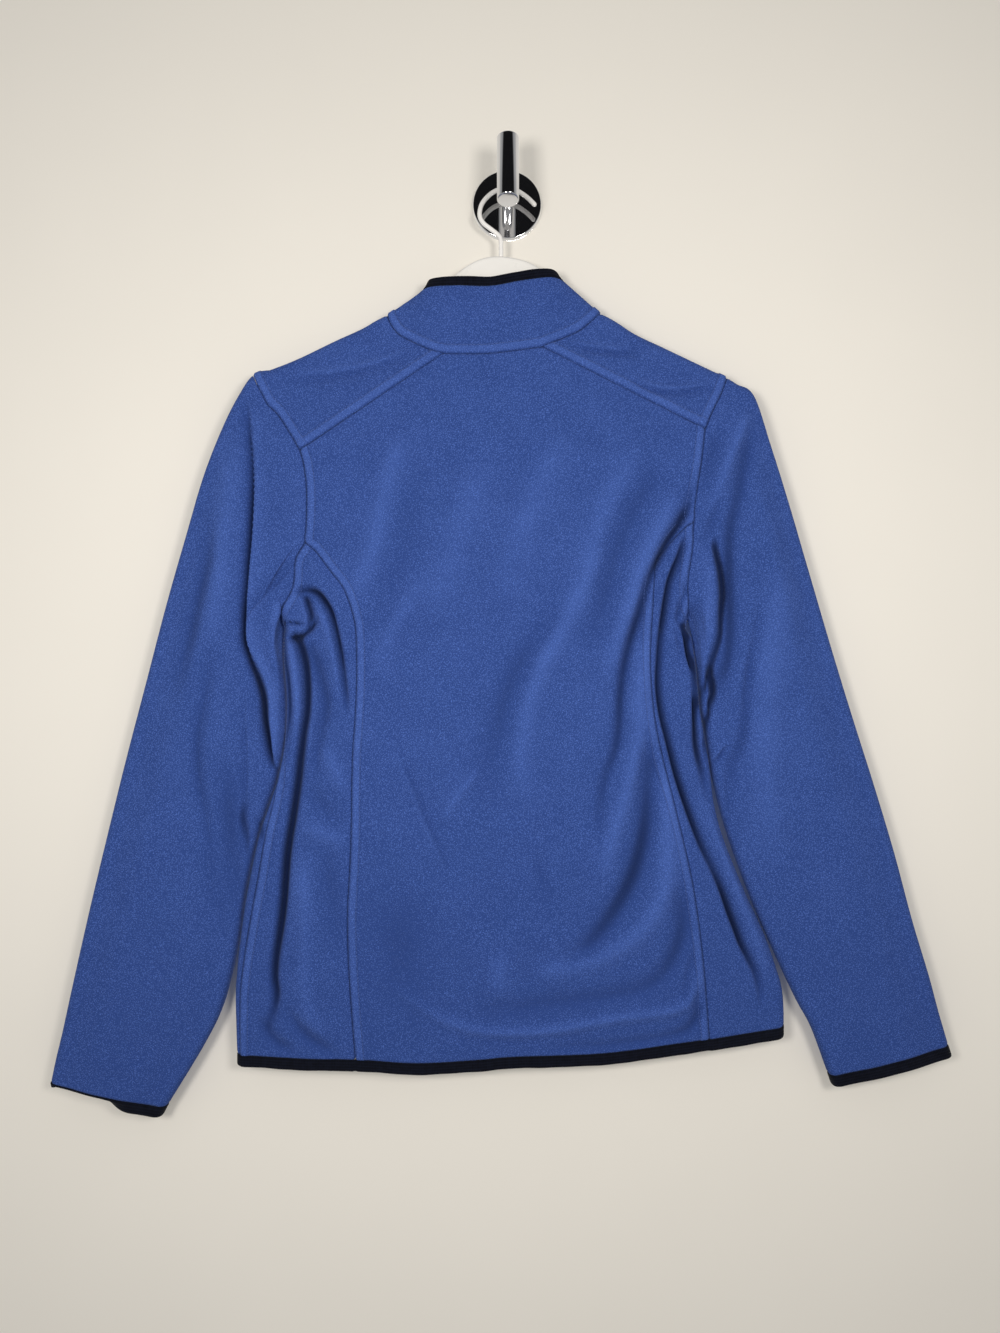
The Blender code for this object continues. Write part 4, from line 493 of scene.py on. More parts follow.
     (68, -709.2, 0.6), (37.4, -712.7, 0.6), (11.1, -717.1, 0.5), (-15.2, -718.9, 0.3), (-32.6, -717.1, 0)]),
    # drape R2
    ((3.6, 5), (3.6, 5), [(167.7, -675.1, 0), (162.5, -697, 0.6), (155.5, -711.9, 1), (140.6, -718.9, 1),
     (116.1, -722.4, 0.9), (85.5, -726.7, 0.9), (50.5, -733.7, 1), (15.5, -737.2, 1), (-19.5, -736.4, 0.9),
     (-45.8, -730.2, 0.7), (-67.7, -719.7, 0.5), (-89.5, -705.7, 0.3), (-107, -697, 0)]),
    # drape V4
    ((-4, 4.8), (-4, 4.8), [(170.3, -697, 0), (167.7, -710.1, 0.7), (166.8, -720.6, 1), (161.6, -731.1, 1),
     (152.8, -738.1, 0.8), (138, -742.5, 0.6), (116.1, -746, 0.5), (89.8, -749.5, 0.5), (54.9, -751.2, 0.3),
     (28.6, -752.1, 0)]),
    # drape thin
    ((-2.4, 2.4), (-2.4, 2.4), [(165.1, -662, 0), (161.6, -673.4, 0.8), (158.1, -685.6, 1), (156.3, -697.9, 1),
     (154.6, -708.4, 0.7), (152.8, -718.9, 0)]),
    # long drape 1
    ((-3, 10), (-3, 10), [(138.8, -237.6, 0), (126.6, -253.4, 0.8), (116.1, -270.9, 1), (105.6, -290.1, 1),
     (96.8, -312, 1), (89.8, -335.6, 1), (83.7, -360.1, 0.9), (75.8, -384.6, 0.6), (68, -408.2, 0)]),
    # long drape 2
    ((3.2, 9.5), (3.2, 9.5), [(81.1, -312, 0), (72.3, -332.1, 0.9), (63.6, -353.1, 1), (53.1, -374.1, 1),
     (41.7, -395.1, 1), (31.2, -417, 1), (22.5, -438.9, 0.9), (16.4, -460.7, 0.8), (12.8, -487, 0.7),
     (12, -513.2, 0.6), (13.7, -535.1, 0)]),
    # long drape 3
    ((2, 10), (2, 10), [(116.1, -227.1, 0), (100.3, -250.7, 0.9), (88.1, -272.6, 1), (79.3, -294.5, 1),
     (72.3, -316.4, 0.8), (65.3, -338.2, 0)]),
    # long drape 4
    ((-3, 10.5), (-3, 10.5), [(51.4, -360.1, 0), (39.1, -377.6, 0.6), (25.1, -395.1, 0.8), (12.8, -412.6, 1),
     (3.2, -431.9, 1), (-3.8, -452, 1), (-8.2, -473.9, 0.9), (-13.4, -495.7, 0.7), (-20.4, -517.6, 0.4),
     (-27.4, -535.1, 0)]),
    # left back drape a
    ((2.6, 9), (2.6, 9), [(-92.2, -211.4, 0), (-96.5, -228.9, 0.8), (-102.7, -250.7, 1), (-108.8, -277, 1),
     (-114, -303.2, 1), (-121, -326.9, 0.9), (-128.9, -347, 0.6), (-134.2, -364.5, 0)]),
    # left back drape b
    ((-1.6, 10), (-1.6, 10), [(-72, -228.9, 0), (-80.8, -263.9, 0.7), (-87.8, -298.9, 1), (-95.7, -329.5, 0.9),
     (-104.4, -360.1, 0.6), (-111.4, -386.4, 0)]),
    # left back drape c
    ((1.6, 7), (1.6, 7), [(-69.4, -335.6, 0), (-83.4, -358.4, 0.8), (-96.5, -379.4, 1), (-107, -402.1, 0.8),
     (-114.9, -425.7, 0)]),
    # mid back swell a
    ((1.5, 13), (1.5, 13), [(-16.9, -237.6, 0), (-29.1, -263.9, 0.9), (-38.8, -290.1, 1), (-48.4, -320.7, 0.9),
     (-58.9, -351.4, 0.6), (-67.7, -377.6, 0)]),
    # mid back swell b
    ((1.5, 13), (1.5, 13), [(51.4, -211.4, 0), (37.4, -242, 0.9), (23.4, -272.6, 1), (12.8, -303.2, 1),
     (6.7, -329.5, 0.6), (-2, -360.1, 0)]),
    # left back crease
    ((-2, 4), (2, 3), [(-95.7, -491.4, 0), (-89.5, -507.1, 0.8), (-82.5, -524.6, 1), (-75.5, -542.1, 1),
     (-68.5, -559.6, 1), (-61.5, -575.4, 0.9), (-55.4, -589.4, 0.7), (-50.1, -599.9, 0)]),
    # left back light
    ((2.2, 4), (2.2, 4), [(-22.1, -504.5, 0), (-32.6, -517.6, 1), (-43.1, -530.7, 1), (-51, -543.9, 0.7),
     (-57.1, -554.4, 0)]),
    # low back hollow
    ((-2.4, 26), (-2.4, 26), [(-111.4, -596.4, 0), (-95.7, -648.9, 1), (-93.9, -697, 0.8),
     (-102.7, -736.4, 0)]),
    # low back light
    ((2, 9), (2, 9), [(-2, -662, 0), (-5.5, -679.5, 1), (-7.3, -697, 1), (-9.9, -711.9, 0)]),
    # low back dark
    ((-1.8, 6), (-1.8, 6), [(25.1, -574.5, 0), (28.6, -594.6, 1), (33.9, -613.9, 0.8), (42.6, -631.4, 0)]),
    # left yoke ridge
    ((2.6, 4), (-2, 7), [(-193.7, -164.1, 0), (-172.7, -162.8, 0.8), (-150.8, -160.2, 1), (-130.7, -156.7, 1),
     (-111.4, -151.9, 0.8), (-95.7, -146.6, 0.4), (-85.2, -141.4, 0)]),
    # right yoke ridge 1
    ((2.4, 3), (-2.8, 4.5), [(56.6, -133.5, 0), (70.6, -137.9, 0.8), (88.1, -139.6, 1), (107.3, -140.5, 1),
     (124.8, -141.4, 0.8), (137.1, -143.1, 0)]),
    # right yoke ridge 2
    ((2.4, 3.5), (-2.4, 5), [(107.3, -164.1, 0), (120.5, -171.1, 0.8), (135.3, -175.1, 1), (151.1, -175.5, 1),
     (166.8, -172.9, 0.8), (181.7, -169.4, 0)]),
]
FRONT_FOLDS = [
    ((-2.5, 12), (2.0, 16),
     [(-150, -300, 0), (-158, -380, 1), (-150, -470, 1), (-160, -560, 0.7), (-170, -640, 0)]),
    ((2.0, 16), (-2.5, 12), [(120, -290, 0), (130, -370, 1), (122, -460, 1), (132, -560, 0.7), (150, -650, 0)]),
    ((2.2, 18), (-1.5, 14),
     [(-40, -230, 0), (-70, -320, 0.8), (-84, -420, 1), (-80, -540, 0.8), (-96, -660, 0)]),
    ((-1.5, 14), (2.2, 18), [(30, -230, 0), (56, -330, 0.8), (70, -430, 1), (64, -560, 0.8), (84, -680, 0)]),
    ((2.0, 14), (-2.0, 12), [(-230, -560, 0), (-190, -620, 1), (-150, -700, 1), (-140, -750, 0.6)]),
    ((-2.0, 12), (2.0, 14), [(232, -560, 0), (190, -630, 1), (160, -700, 1), (150, -740, 0.6)]),
    ((-3.0, 10), (2.0, 14),
     [(-235, -200, 0), (-228, -290, 1), (-226, -370, 1), (-236, -450, 0.6), (-240, -520, 0)]),
    ((2.0, 14), (-3.0, 10), [(200, -200, 0), (194, -290, 1), (196, -370, 1), (204, -450, 0.6), (210, -520, 0)]),
    ((2.0, 12), (-1.5, 10), [(-330, -560, 0), (-316, -610, 1), (-290, -640, 1), (-262, -655, 0)]),
    ((-1.5, 10), (2.0, 12), [(318, -540, 0), (300, -590, 1), (276, -620, 1), (250, -640, 0)]),
]
LIP = 2.2                   # width over which the two sides of a fold meet
FOLD_REACH = 2.6            # widths beyond which a fold is left out
EDGE_START, BODY_FADE, SLEEVE_FADE = 1.0, 5.0, 6.0      # folds begin this far inside an outline, and fade in


def beside(route, x, z):
    """Signed distance from a route, positive on its left, and the distance along it of the nearest point."""
    start, step = route[:-1, :2], np.diff(route[:, :2], axis=0)
    size = (step ** 2).sum(1)
    off_x, off_z = x[:, None] - start[:, 0], z[:, None] - start[:, 1]
    share = np.clip((off_x * step[:, 0] + off_z * step[:, 1]) / size, 0, 1)
    off_x, off_z = off_x - share * step[:, 0], off_z - share * step[:, 1]
    gap = np.hypot(off_x, off_z)
    pick = gap.argmin(1)[:, None]
    here = [np.take_along_axis(values, pick, 1)[:, 0] for values in (gap, off_x, off_z, share)]
    step = step[pick[:, 0]]
    left = np.sign(step[:, 0] * here[2] - step[:, 1] * here[1])
    return left * here[0], lengths(route[:, :2])[pick[:, 0]] + here[3] * np.hypot(*step.T)


def fold_height(x, z, table):
    """Sum over the folds of strength * side height * exp(-(d / width)^2)."""
    flat_x, flat_z = x.ravel(), z.ravel()
    total = np.zeros(flat_x.size)
    for (left, left_width), (right, right_width), places in table:
        route = spline(places, 5)
        reach = FOLD_REACH * max(left_width, right_width)
        low, high = route[:, :2].min(0) - reach, route[:, :2].max(0) + reach
        near = np.flatnonzero((flat_x > low[0]) & (flat_x < high[0]) & (flat_z > low[1]) & (flat_z < high[1]))
        if near.size == 0:
            continue
        distance, run = beside(route, flat_x[near], flat_z[near])
        strength = np.interp(run, lengths(route[:, :2]), route[:, 2])
        share = smooth(distance / LIP + 0.5)
        total[near] += strength * (left * np.exp(-(distance / left_width) ** 2) * share
                                   + right * np.exp(-(distance / right_width) ** 2) * (1 - share))
    return total.reshape(x.shape)


def folds_on(places):
    """Height of the folds on both sheets, and how far it fades near the body's outline."""
    x, z, sheet = np.moveaxis(places, -1, 0)
    return (np.where(sheet < 0, fold_height(x, z, FOLDS), fold_height(x, z, FRONT_FOLDS)),
            smooth((near_outline(x, z) - EDGE_START) / BODY_FADE))


print(len(FOLDS), "folds on the back,", len(FRONT_FOLDS), "on the front")

# %% [markdown]
# ## Sewn edges
#
# Where two pieces of fleece are sewn, the soft cloth dips into the seam. On one side the seam allowance is
# pressed under the cloth and topstitched, which leaves a raised band 8 mm wide that ends in a fine groove
# with stitches. A grid knows how far each of its points is from a seam, so the dip, band and groove are
# functions of distance.

# %% Relief beside a seam
BAND = 7.6                  # from the seam to its topstitching
BAND_HEIGHT, BAND_START, BAND_RISE, BAND_FALL = 1.1, 0.6, 1.6, 2.2
DIP_DEPTH, DIP_WIDTH = 0.6, 1.2
FAR = 30.0                  # distance that counts as away from every seam
BLOCK = 40                  # steps of a line that are measured at once


def line_distance(points, line):
    """Distance of points from a line of points, by the nearest place on any of its steps."""
    flat = points.reshape(-1, 3)
    best = np.full(len(flat), 1e9)
    start, step = line[:-1], np.diff(line, axis=0)
    size = np.maximum((step ** 2).sum(1), 1e-9)
    for first in range(0, len(start), BLOCK):
        block = slice(first, first + BLOCK)
        offset = flat[:, None] - start[block]
        share = np.clip((offset * step[block]).sum(-1) / size[block], 0, 1)
        gap = np.linalg.norm(offset - share[..., None] * step[block], axis=-1)
        best = np.minimum(best, gap.min(1))
    return best.reshape(points.shape[:-1])


def seam_dip(distance):
    """The dip at a seam: -depth * exp(-(distance / width)^2)."""
    return -DIP_DEPTH * np.exp(-(distance / DIP_WIDTH) ** 2)


def seam_band(distance):
    """A topstitched band: a smooth step up after the seam times a smooth step down past the stitches."""
    up = smooth((distance - BAND_START) / BAND_RISE)
    return BAND_HEIGHT * up * (1 - smooth((distance - BAND + BAND_START) / BAND_FALL))


def sew(points, seams):
    """Relief and distances of a piece. seams is a list of (line, has a band)."""
    relief, nearest = np.zeros(points.shape[:-1]), np.full(points.shape[:-1], FAR)
    stitched, bands = nearest.copy(), []
    for line, banded in seams:
        distance = line_distance(points, line)
        relief += seam_dip(distance)
        if banded:
            relief += seam_band(distance)
            stitched = np.minimum(stitched, distance)
        bands.append(distance)
        nearest = np.minimum(nearest, distance)
    return relief, nearest, stitched, bands


# %% [markdown]
# ## From grids to meshes
#
# Cloth has two faces and an edge. Each piece is an outer grid and an inner grid joined along their borders,
# which gives a thin closed shell. Three numbers are kept at each vertex for the fleece: "seam" is the
# distance from the nearest seam, "band" the distance from the nearest topstitched one, and the third the
# height of the folds, painted into the fleece's colour as shade and highlights. A UV map in metres follows
# the cloth for the ribbed and woven pieces.

# %% Mesh builders
def new_object(name, vertices, faces, body="jacket"):
    """A smooth mesh object at the origin from vertices in millimetres; it rides on a body."""
    mesh = bpy.data.meshes.new(name)
    mesh.from_pydata((vertices * MM).tolist(), [], faces)
    mesh.polygons.foreach_set("use_smooth", [True] * len(mesh.polygons))
    piece = bpy.data.objects.new(name, mesh)
    bpy.context.scene.collection.objects.link(piece)
    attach(piece, body)
    return piece


def set_uv(piece, uv):
    """A UV map from one (u, v) per vertex."""
    corners = np.empty(len(piece.data.loops), int)
    piece.data.loops.foreach_get("vertex_index", corners)
    piece.data.uv_layers.new(name="cloth").data.foreach_set("uv", uv[corners].ravel())


def set_values(piece, name, values):
    """A number per vertex as a named attribute."""
    piece.data.attributes.new(name, "FLOAT", "POINT").data.foreach_set("value", values.ravel().astype(float))


def strips(index):
    """Quads between the rows and columns of an array of vertex numbers."""
    return np.stack([index[:-1, :-1], index[:-1, 1:], index[1:, 1:], index[1:, :-1]], -1).reshape(-1, 4)


def shell(name, outer, inner, normals, closed=False, marks=None):
    """A closed shell between two grids; its faces are turned to agree with the outer normals."""
    rows, columns = outer.shape[:2]
    index = np.arange(2 * rows * columns).reshape(2, rows, columns)
    if closed:
        index = np.concatenate([index, index[:, :, :1]], 2)
    faces = [strips(index[0]), strips(index[1])[:, ::-1], strips(index[::-1, 0]), strips(index[:, -1])]
    if not closed:
        faces += [strips(index[:, :, 0]), strips(index[::-1, :, -1])]
    faces = np.concatenate(faces)
    middle_row, middle_column = rows // 2, columns // 3
    across = outer[middle_row, middle_column + 1] - outer[middle_row, middle_column]
    up = outer[middle_row + 1, middle_column] - outer[middle_row, middle_column]
    if np.dot(np.cross(across, up), normals[middle_row, middle_column]) < 0:
        faces = faces[:, ::-1]
    piece = new_object(name, np.concatenate([outer.reshape(-1, 3), inner.reshape(-1, 3)]), faces.tolist())
    run = np.linalg.norm(np.diff(outer, axis=1), axis=-1).mean(0)
    rise = np.linalg.norm(np.diff(outer, axis=0), axis=-1).mean(1)
    u, v = np.concatenate([[0], run.cumsum()]), np.concatenate([[0], rise.cumsum()])
    uv = np.stack(np.broadcast_arrays(u[None, :], v[:, None]), -1).reshape(-1, 2) * MM
    set_uv(piece, np.concatenate([uv, uv]))
    for mark, values in (marks or {}).items():
        set_values(piece, mark, np.concatenate([values.ravel(), values.ravel()]))
    return piece


def grid_normals(points, closed=False):
    """Unit normals of a grid: the cross product of its central differences."""
    ring = np.roll(points, -1, 1) - np.roll(points, 1, 1) if closed else np.gradient(points, axis=1)
    return unit(np.cross(ring, np.gradient(points, axis=0)))


def draw_in(points, gap, closed=False):
    """Move a grid's border in from its seams, square to each seam."""
    moved = points.copy()
    borders = [(points[0], points[1], moved[0]), (points[-1], points[-2], moved[-1])]
    if not closed:
        borders += [(points[:, 0], points[:, 1], moved[:, 0]), (points[:, -1], points[:, -2], moved[:, -1])]
    for border, inside, target in borders:
        step = np.roll(border, -1, 0) - np.roll(border, 1, 0) if closed else np.gradient(border, axis=0)
        tangent = unit(step)
        inward = inside - border
        inward -= (inward * tangent).sum(-1, keepdims=True) * tangent
        target += gap * unit(inward)
    return moved


shirt, cut_grids, cloth_faces, band_distances = {}, {}, {}, {}


def cloth(name, points, normals, folds, seams, closed=False):
    """A sewn piece: folds move both of its faces, seam relief only the outer one. folds is (height, fade)."""
    painted_fold_shade, folds = folds[0], folds[0] * folds[1]
    relief, nearest, stitched, bands = sew(points, seams)
    base = draw_in(points, GAP, closed)
    outer = base + (folds + relief)[..., None] * normals
    inner = base + (folds - CLOTH)[..., None] * normals
    marks = {"seam": nearest, "band": stitched, "painted_fold_shade": painted_fold_shade}
    piece = shell(name + "_fleece", outer, inner, normals, closed, marks)
    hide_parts(name)
    shirt[name], cut_grids[name] = piece, points
    cloth_faces[name], band_distances[name] = (outer, normals), bands


# %% [markdown]
# ## The body's panels
#
# A grid between four seams is made with a Coons patch: the average of a blend between the two sides and a
# blend between the two ends. Neighbouring panels use the same points along the seam that they share.

# %% Shared seams
SIDE_STEPS = graded(452, 2.4)               # hem to underarm
ARM_STEPS = graded(83, 2.4)                 # princess seam to yoke seam
YOKE_STEPS = graded(170, 3.2)               # along the yoke seam
PANEL_STEPS = graded(75, 1.5)               # across a back side panel
BACK_STEPS = graded(330, 2.6)               # across the centre back
CHEST_STEPS = graded(160, 5.0, start=False, end=False)
NECK_STEPS = graded(90, 4.4, start=False, end=False)
OVER_STEPS = graded(60, 2.8, start=False)
TURN_MARKS = np.linspace(-14.1, 14.1, 13)   # steps of cloth over the shoulder
SHOULDER_SEARCH = 20.0                      # a boundary is near the turn from this far before its first step
CHEST_SHARE = 0.62                          # part of the front armhole that lies beside the chest rows
ZIP_HALF = 6.5                              # from the centre front to a front's border
HEM_EASE = 0.095                            # share of a front's width that eases its hem to the side seam
MITRE_TOP, MITRE_RUN = -340.0, 35.0         # the mitre under the arm starts at this height and grows over this


def patch(left, right, bottom, top):
    """Coons patch: sides blend + ends blend - corners blend, by fractions of length along the boundaries."""
    rise = (lengths(left) / lengths(left)[-1] + lengths(right) / lengths(right)[-1])[:, None, None] / 2
    run = (lengths(bottom) / lengths(bottom)[-1] + lengths(top) / lengths(top)[-1])[None, :, None] / 2
    sides = left[:, None] * (1 - run) + right[:, None] * run
    ends = bottom[None] * (1 - rise) + top[None] * rise
    lower, upper = (end[0] * (1 - run) + end[-1] * run for end in (bottom, top))
    return sides + ends - (lower * (1 - rise) + upper * rise)


def on_back(curve):
    """Places on the back sheet from an (x, z) curve."""
    return np.column_stack([curve, np.full(len(curve), BACK)])


def side_seam(side):
    """From the hem to the underarm, as distances from the edge and heights."""
    low, high = side["low"], side["underarm"][0][1]
    heights = low + (high - low) * SIDE_STEPS
    return np.column_stack([side["seam"](heights), heights])


def underarm(side):
    """From the side seam to the princess seam, as distances from the edge and heights."""
    points = np.array(side["underarm"], float)
    flat = np.column_stack([edge_distance(side, points[:, 0], points[:, 1]), points[:, 1]])
    flat[0, 0] = side["seam"](points[0, 1])
    return divide(spline(flat), PANEL_STEPS)


def yoke_seam(side):
    """Straight from the armhole to the neck."""
    return divide(np.array([side["armhole"][-1], side["join"]], float), YOKE_STEPS)


def princess(side):
    """From the hem to the armhole, as (x, z)."""
    return divide(spline(side["princess"]), SIDE_STEPS)


def over_shoulder(front, back, before, after):
    """A boundary up the front, over the shoulder and down the back, in the flat pattern."""
    front, back = np.asarray(front, float), np.asarray(back, float)
    curve = spline(np.vstack([np.column_stack([front[:, 0], flat_height(*front.T, FRONT)]),
                              np.column_stack([back[:, 0], flat_height(*back.T, BACK)])]))
    above = curve[:, 1] - shoulder_line(curve[:, 0]) - SPARE
    start = np.argmax(above > TURN_MARKS[0] - SHOULDER_SEARCH)
    marks = np.interp(TURN_MARKS, above[start:], lengths(curve)[start:])
    rest = lengths(curve)[-1] - marks[-1]
    return along(curve, np.concatenate([marks[0] * before[:-1], marks, marks[-1] + rest * after[1:]]))


def front_outer(side):
    """Side seam, front armhole and the yoke's part of the back armhole, in the flat pattern."""
    seam = side_seam(side)
    edge = side["edge"](seam[:, 1]) + side["sign"] * CLEARANCE
    low = np.column_stack([edge + side["sign"] * (-seam[:, 0] - SPARE), seam[:, 1]])
    up_front = np.vstack([low[-1:], side["armhole_front"]])
    steps = np.concatenate([CHEST_STEPS * CHEST_SHARE, CHEST_SHARE + NECK_STEPS[1:] * (1 - CHEST_SHARE)])
    high = over_shoulder(up_front, side["yoke_armhole"][:-1][::-1], steps, OVER_STEPS)
    return np.vstack([low, high[1:]])


def front_inner(side):
    """Centre front and the neck seam as far as the back yoke, in the flat pattern."""
    neck_z, underarm_z = side["neck_front"][0][1], side["underarm"][0][1]
    low_z = hem_front(CENTRE_FRONT[0][1])
    heights = np.concatenate([low_z + (underarm_z - low_z) * SIDE_STEPS,
                              (underarm_z + (neck_z - underarm_z) * CHEST_STEPS)[1:]])
    centre = np.column_stack([centre_front(heights) - side["sign"] * ZIP_HALF, heights])
    back = np.array(NECK_BACK if side is LEFT else NECK_BACK[::-1], float)
    join = np.argmin(np.hypot(*(back - side["join"]).T))
    neck = over_shoulder(side["neck_front"], back[1:join + 1], NECK_STEPS, OVER_STEPS)
    return np.vstack([centre, neck[1:]])


SHOULDER_ROW = len(SIDE_STEPS) + len(CHEST_STEPS) + len(NECK_STEPS) - 3
NECK_ROW = len(SIDE_STEPS) + len(CHEST_STEPS) - 2


def front_grid(side):
    """Places of a front: it carries on round the side edge and over the shoulder to the yoke seam."""
    outer, inner, yoke = front_outer(side), front_inner(side), yoke_seam(side)
    top = np.column_stack([yoke[:, 0], flat_height(*yoke.T, BACK)])
    top[0], top[-1] = outer[-1], inner[-1]
    across = outer[0, 0] + (inner[0, 0] - outer[0, 0]) * YOKE_STEPS
    bottom = np.column_stack([across, hem_front(across)])
    bottom[:, 1] += (outer[0, 1] - bottom[0, 1]) * (1 - np.clip(YOKE_STEPS / HEM_EASE, 0, 1))
    bottom[-1] = inner[0]
    flat = patch(outer, inner, bottom, top)
    turn = slice(SHOULDER_ROW, SHOULDER_ROW + len(TURN_MARKS))
    flat[turn, :, 1] = shoulder_line(flat[turn, :, 0]) + SPARE + TURN_MARKS[:, None]
    places = from_front_pattern(side, flat[..., 0], flat[..., 1])
    places[-1] = on_back(yoke)
    return places


def side_grid(side):
    """Places of a back side panel, between the side seam and the princess seam."""
    seam, inner = side_seam(side), princess(side)
    right = np.column_stack([edge_distance(side, *inner.T), inner[:, 1]])
    across = seam[0, 0] + (right[0, 0] - seam[0, 0]) * PANEL_STEPS
    bottom = np.column_stack([across, hem_back(side["edge"](side["low"]) + side["sign"] * across)])
    bottom[0], bottom[-1] = seam[0], right[0]
    flat = patch(seam, right, bottom, underarm(side))
    places = from_edge(side, flat[..., 0], flat[..., 1])
    places[:, -1] = on_back(inner)
    return places


def back_grid():
    """Places of the centre back, from the hem to the neck."""
    left, right = (np.vstack([princess(side), divide(spline(side["armhole"]), ARM_STEPS)[1:],
                              yoke_seam(side)[1:]]) for side in (LEFT, RIGHT))
    across = left[0, 0] + (right[0, 0] - left[0, 0]) * BACK_STEPS
    bottom = np.column_stack([across, hem_back(across)])
    bottom[0], bottom[-1] = left[0], right[0]
    top = divide(spline(NECK_BACK[NECK_JOINS[0]:NECK_JOINS[1] + 1]), BACK_STEPS)
    flat = patch(left, right, bottom, top)
    return np.concatenate([flat, np.full(flat.shape[:2] + (1,), BACK)], -1)


def mitre(points, normals):
    """Normals of an armhole seam, turned down under the arm, where sleeve and body lie back to back."""
    under = smooth((MITRE_TOP - points[..., 2:]) / MITRE_RUN)
    sideways = normals[..., :1]
    return unit(np.concatenate([sideways * (1 - under), normals[..., 1:2],
                                normals[..., 2:] - under * np.abs(sideways)], -1))


# %% Sewing the body
grids = {"back": back_grid()}
for side in (LEFT, RIGHT):
    grids["back_side_" + side["name"]] = side_grid(side)
    grids["front_" + side["name"]] = front_grid(side)
for name, places in grids.items():
    points, normals = place(places)
    if name == "back":
        corner = len(SIDE_STEPS) - 1
        shoulder = corner + len(ARM_STEPS) - 1
        seams = [(points[0], False), (points[-1], False)]
        for edge in (0, -1):
            seams += [(points[:corner + 1, edge], True), (points[corner:shoulder + 1, edge], True),
                      (points[shoulder:, edge], False)]
    elif name.startswith("back_side"):
        normals[-1] = mitre(points[-1], normals[-1])
        seams = [(points[0], False), (points[:, 0], True), (points[:, -1], False), (points[-1], True)]
    else:
        corner = len(SIDE_STEPS) - 1
        normals[corner:, 0] = mitre(points[corner:, 0], normals[corner:, 0])
        seams = [(points[0], False), (points[:corner + 1, 0], False), (points[corner:, 0], True),
                 (points[-1], True), (points[:NECK_ROW + 1, -1], True), (points[NECK_ROW:, -1], False)]
    cloth(name, points, normals, folds_on(places), seams)
    print(name, "grid", points.shape[:2], "spans", np.round(np.ptp(points, axis=(0, 1))).tolist(), "mm")

# %% [markdown]
# ## Sleeves
#
# A sleeve is a tube. Its first ring is the armhole seam itself, and over the first third of its length it
# turns into a flattened section that keeps its depth down to the cuff. Rings between are cubic blends of
# the two.

# %% Rings of a sleeve
CAP_SHARE, CAP_RINGS, CAP_POWER = 0.32, 62, 1.15
ARM_LENGTH = 450.0          # below the cap, for the spacing of the rings
SLEEVE_RAMP = 35.0          # distance over which a sleeve thickens
LEAVE_MIN, LEAVE_BOW = 20.0, 200.0      # how hard the cap leaves the armhole sideways: at its ends, and between


def armhole_ring(side):
    """Places round an armhole: shoulder, down the back, underarm, up the front."""
    front = grids["front_" + side["name"]]
    over = front[SHOULDER_ROW + len(TURN_MARKS) // 2:, 0]
    back = on_back(divide(spline(side["armhole"]), ARM_STEPS))[::-1]
    under = grids["back_side_" + side["name"]][-1][::-1]
    up_front = front[len(SIDE_STEPS) - 1:SHOULDER_ROW + len(TURN_MARKS) // 2, 0]
    return np.vstack([over, back[1:], under[1:], up_front[1:]]), len(over) + len(back) + len(under) - 3


def section_depth(depth, width, half_depth):
    """Half depth of the flattened section at a distance inside its edge: a squared corner, then a slow rise."""
    near = np.minimum(depth, width - depth)
    radius = np.minimum(TURN, half_depth)
    full = radius + (half_depth - radius) * smooth((near - radius) / SLEEVE_RAMP)
    short = np.clip(1 - near / radius, 0, 1)
    return np.where(near < radius, radius, full) * (1 - short ** CORNER) ** (1 / CORNER)


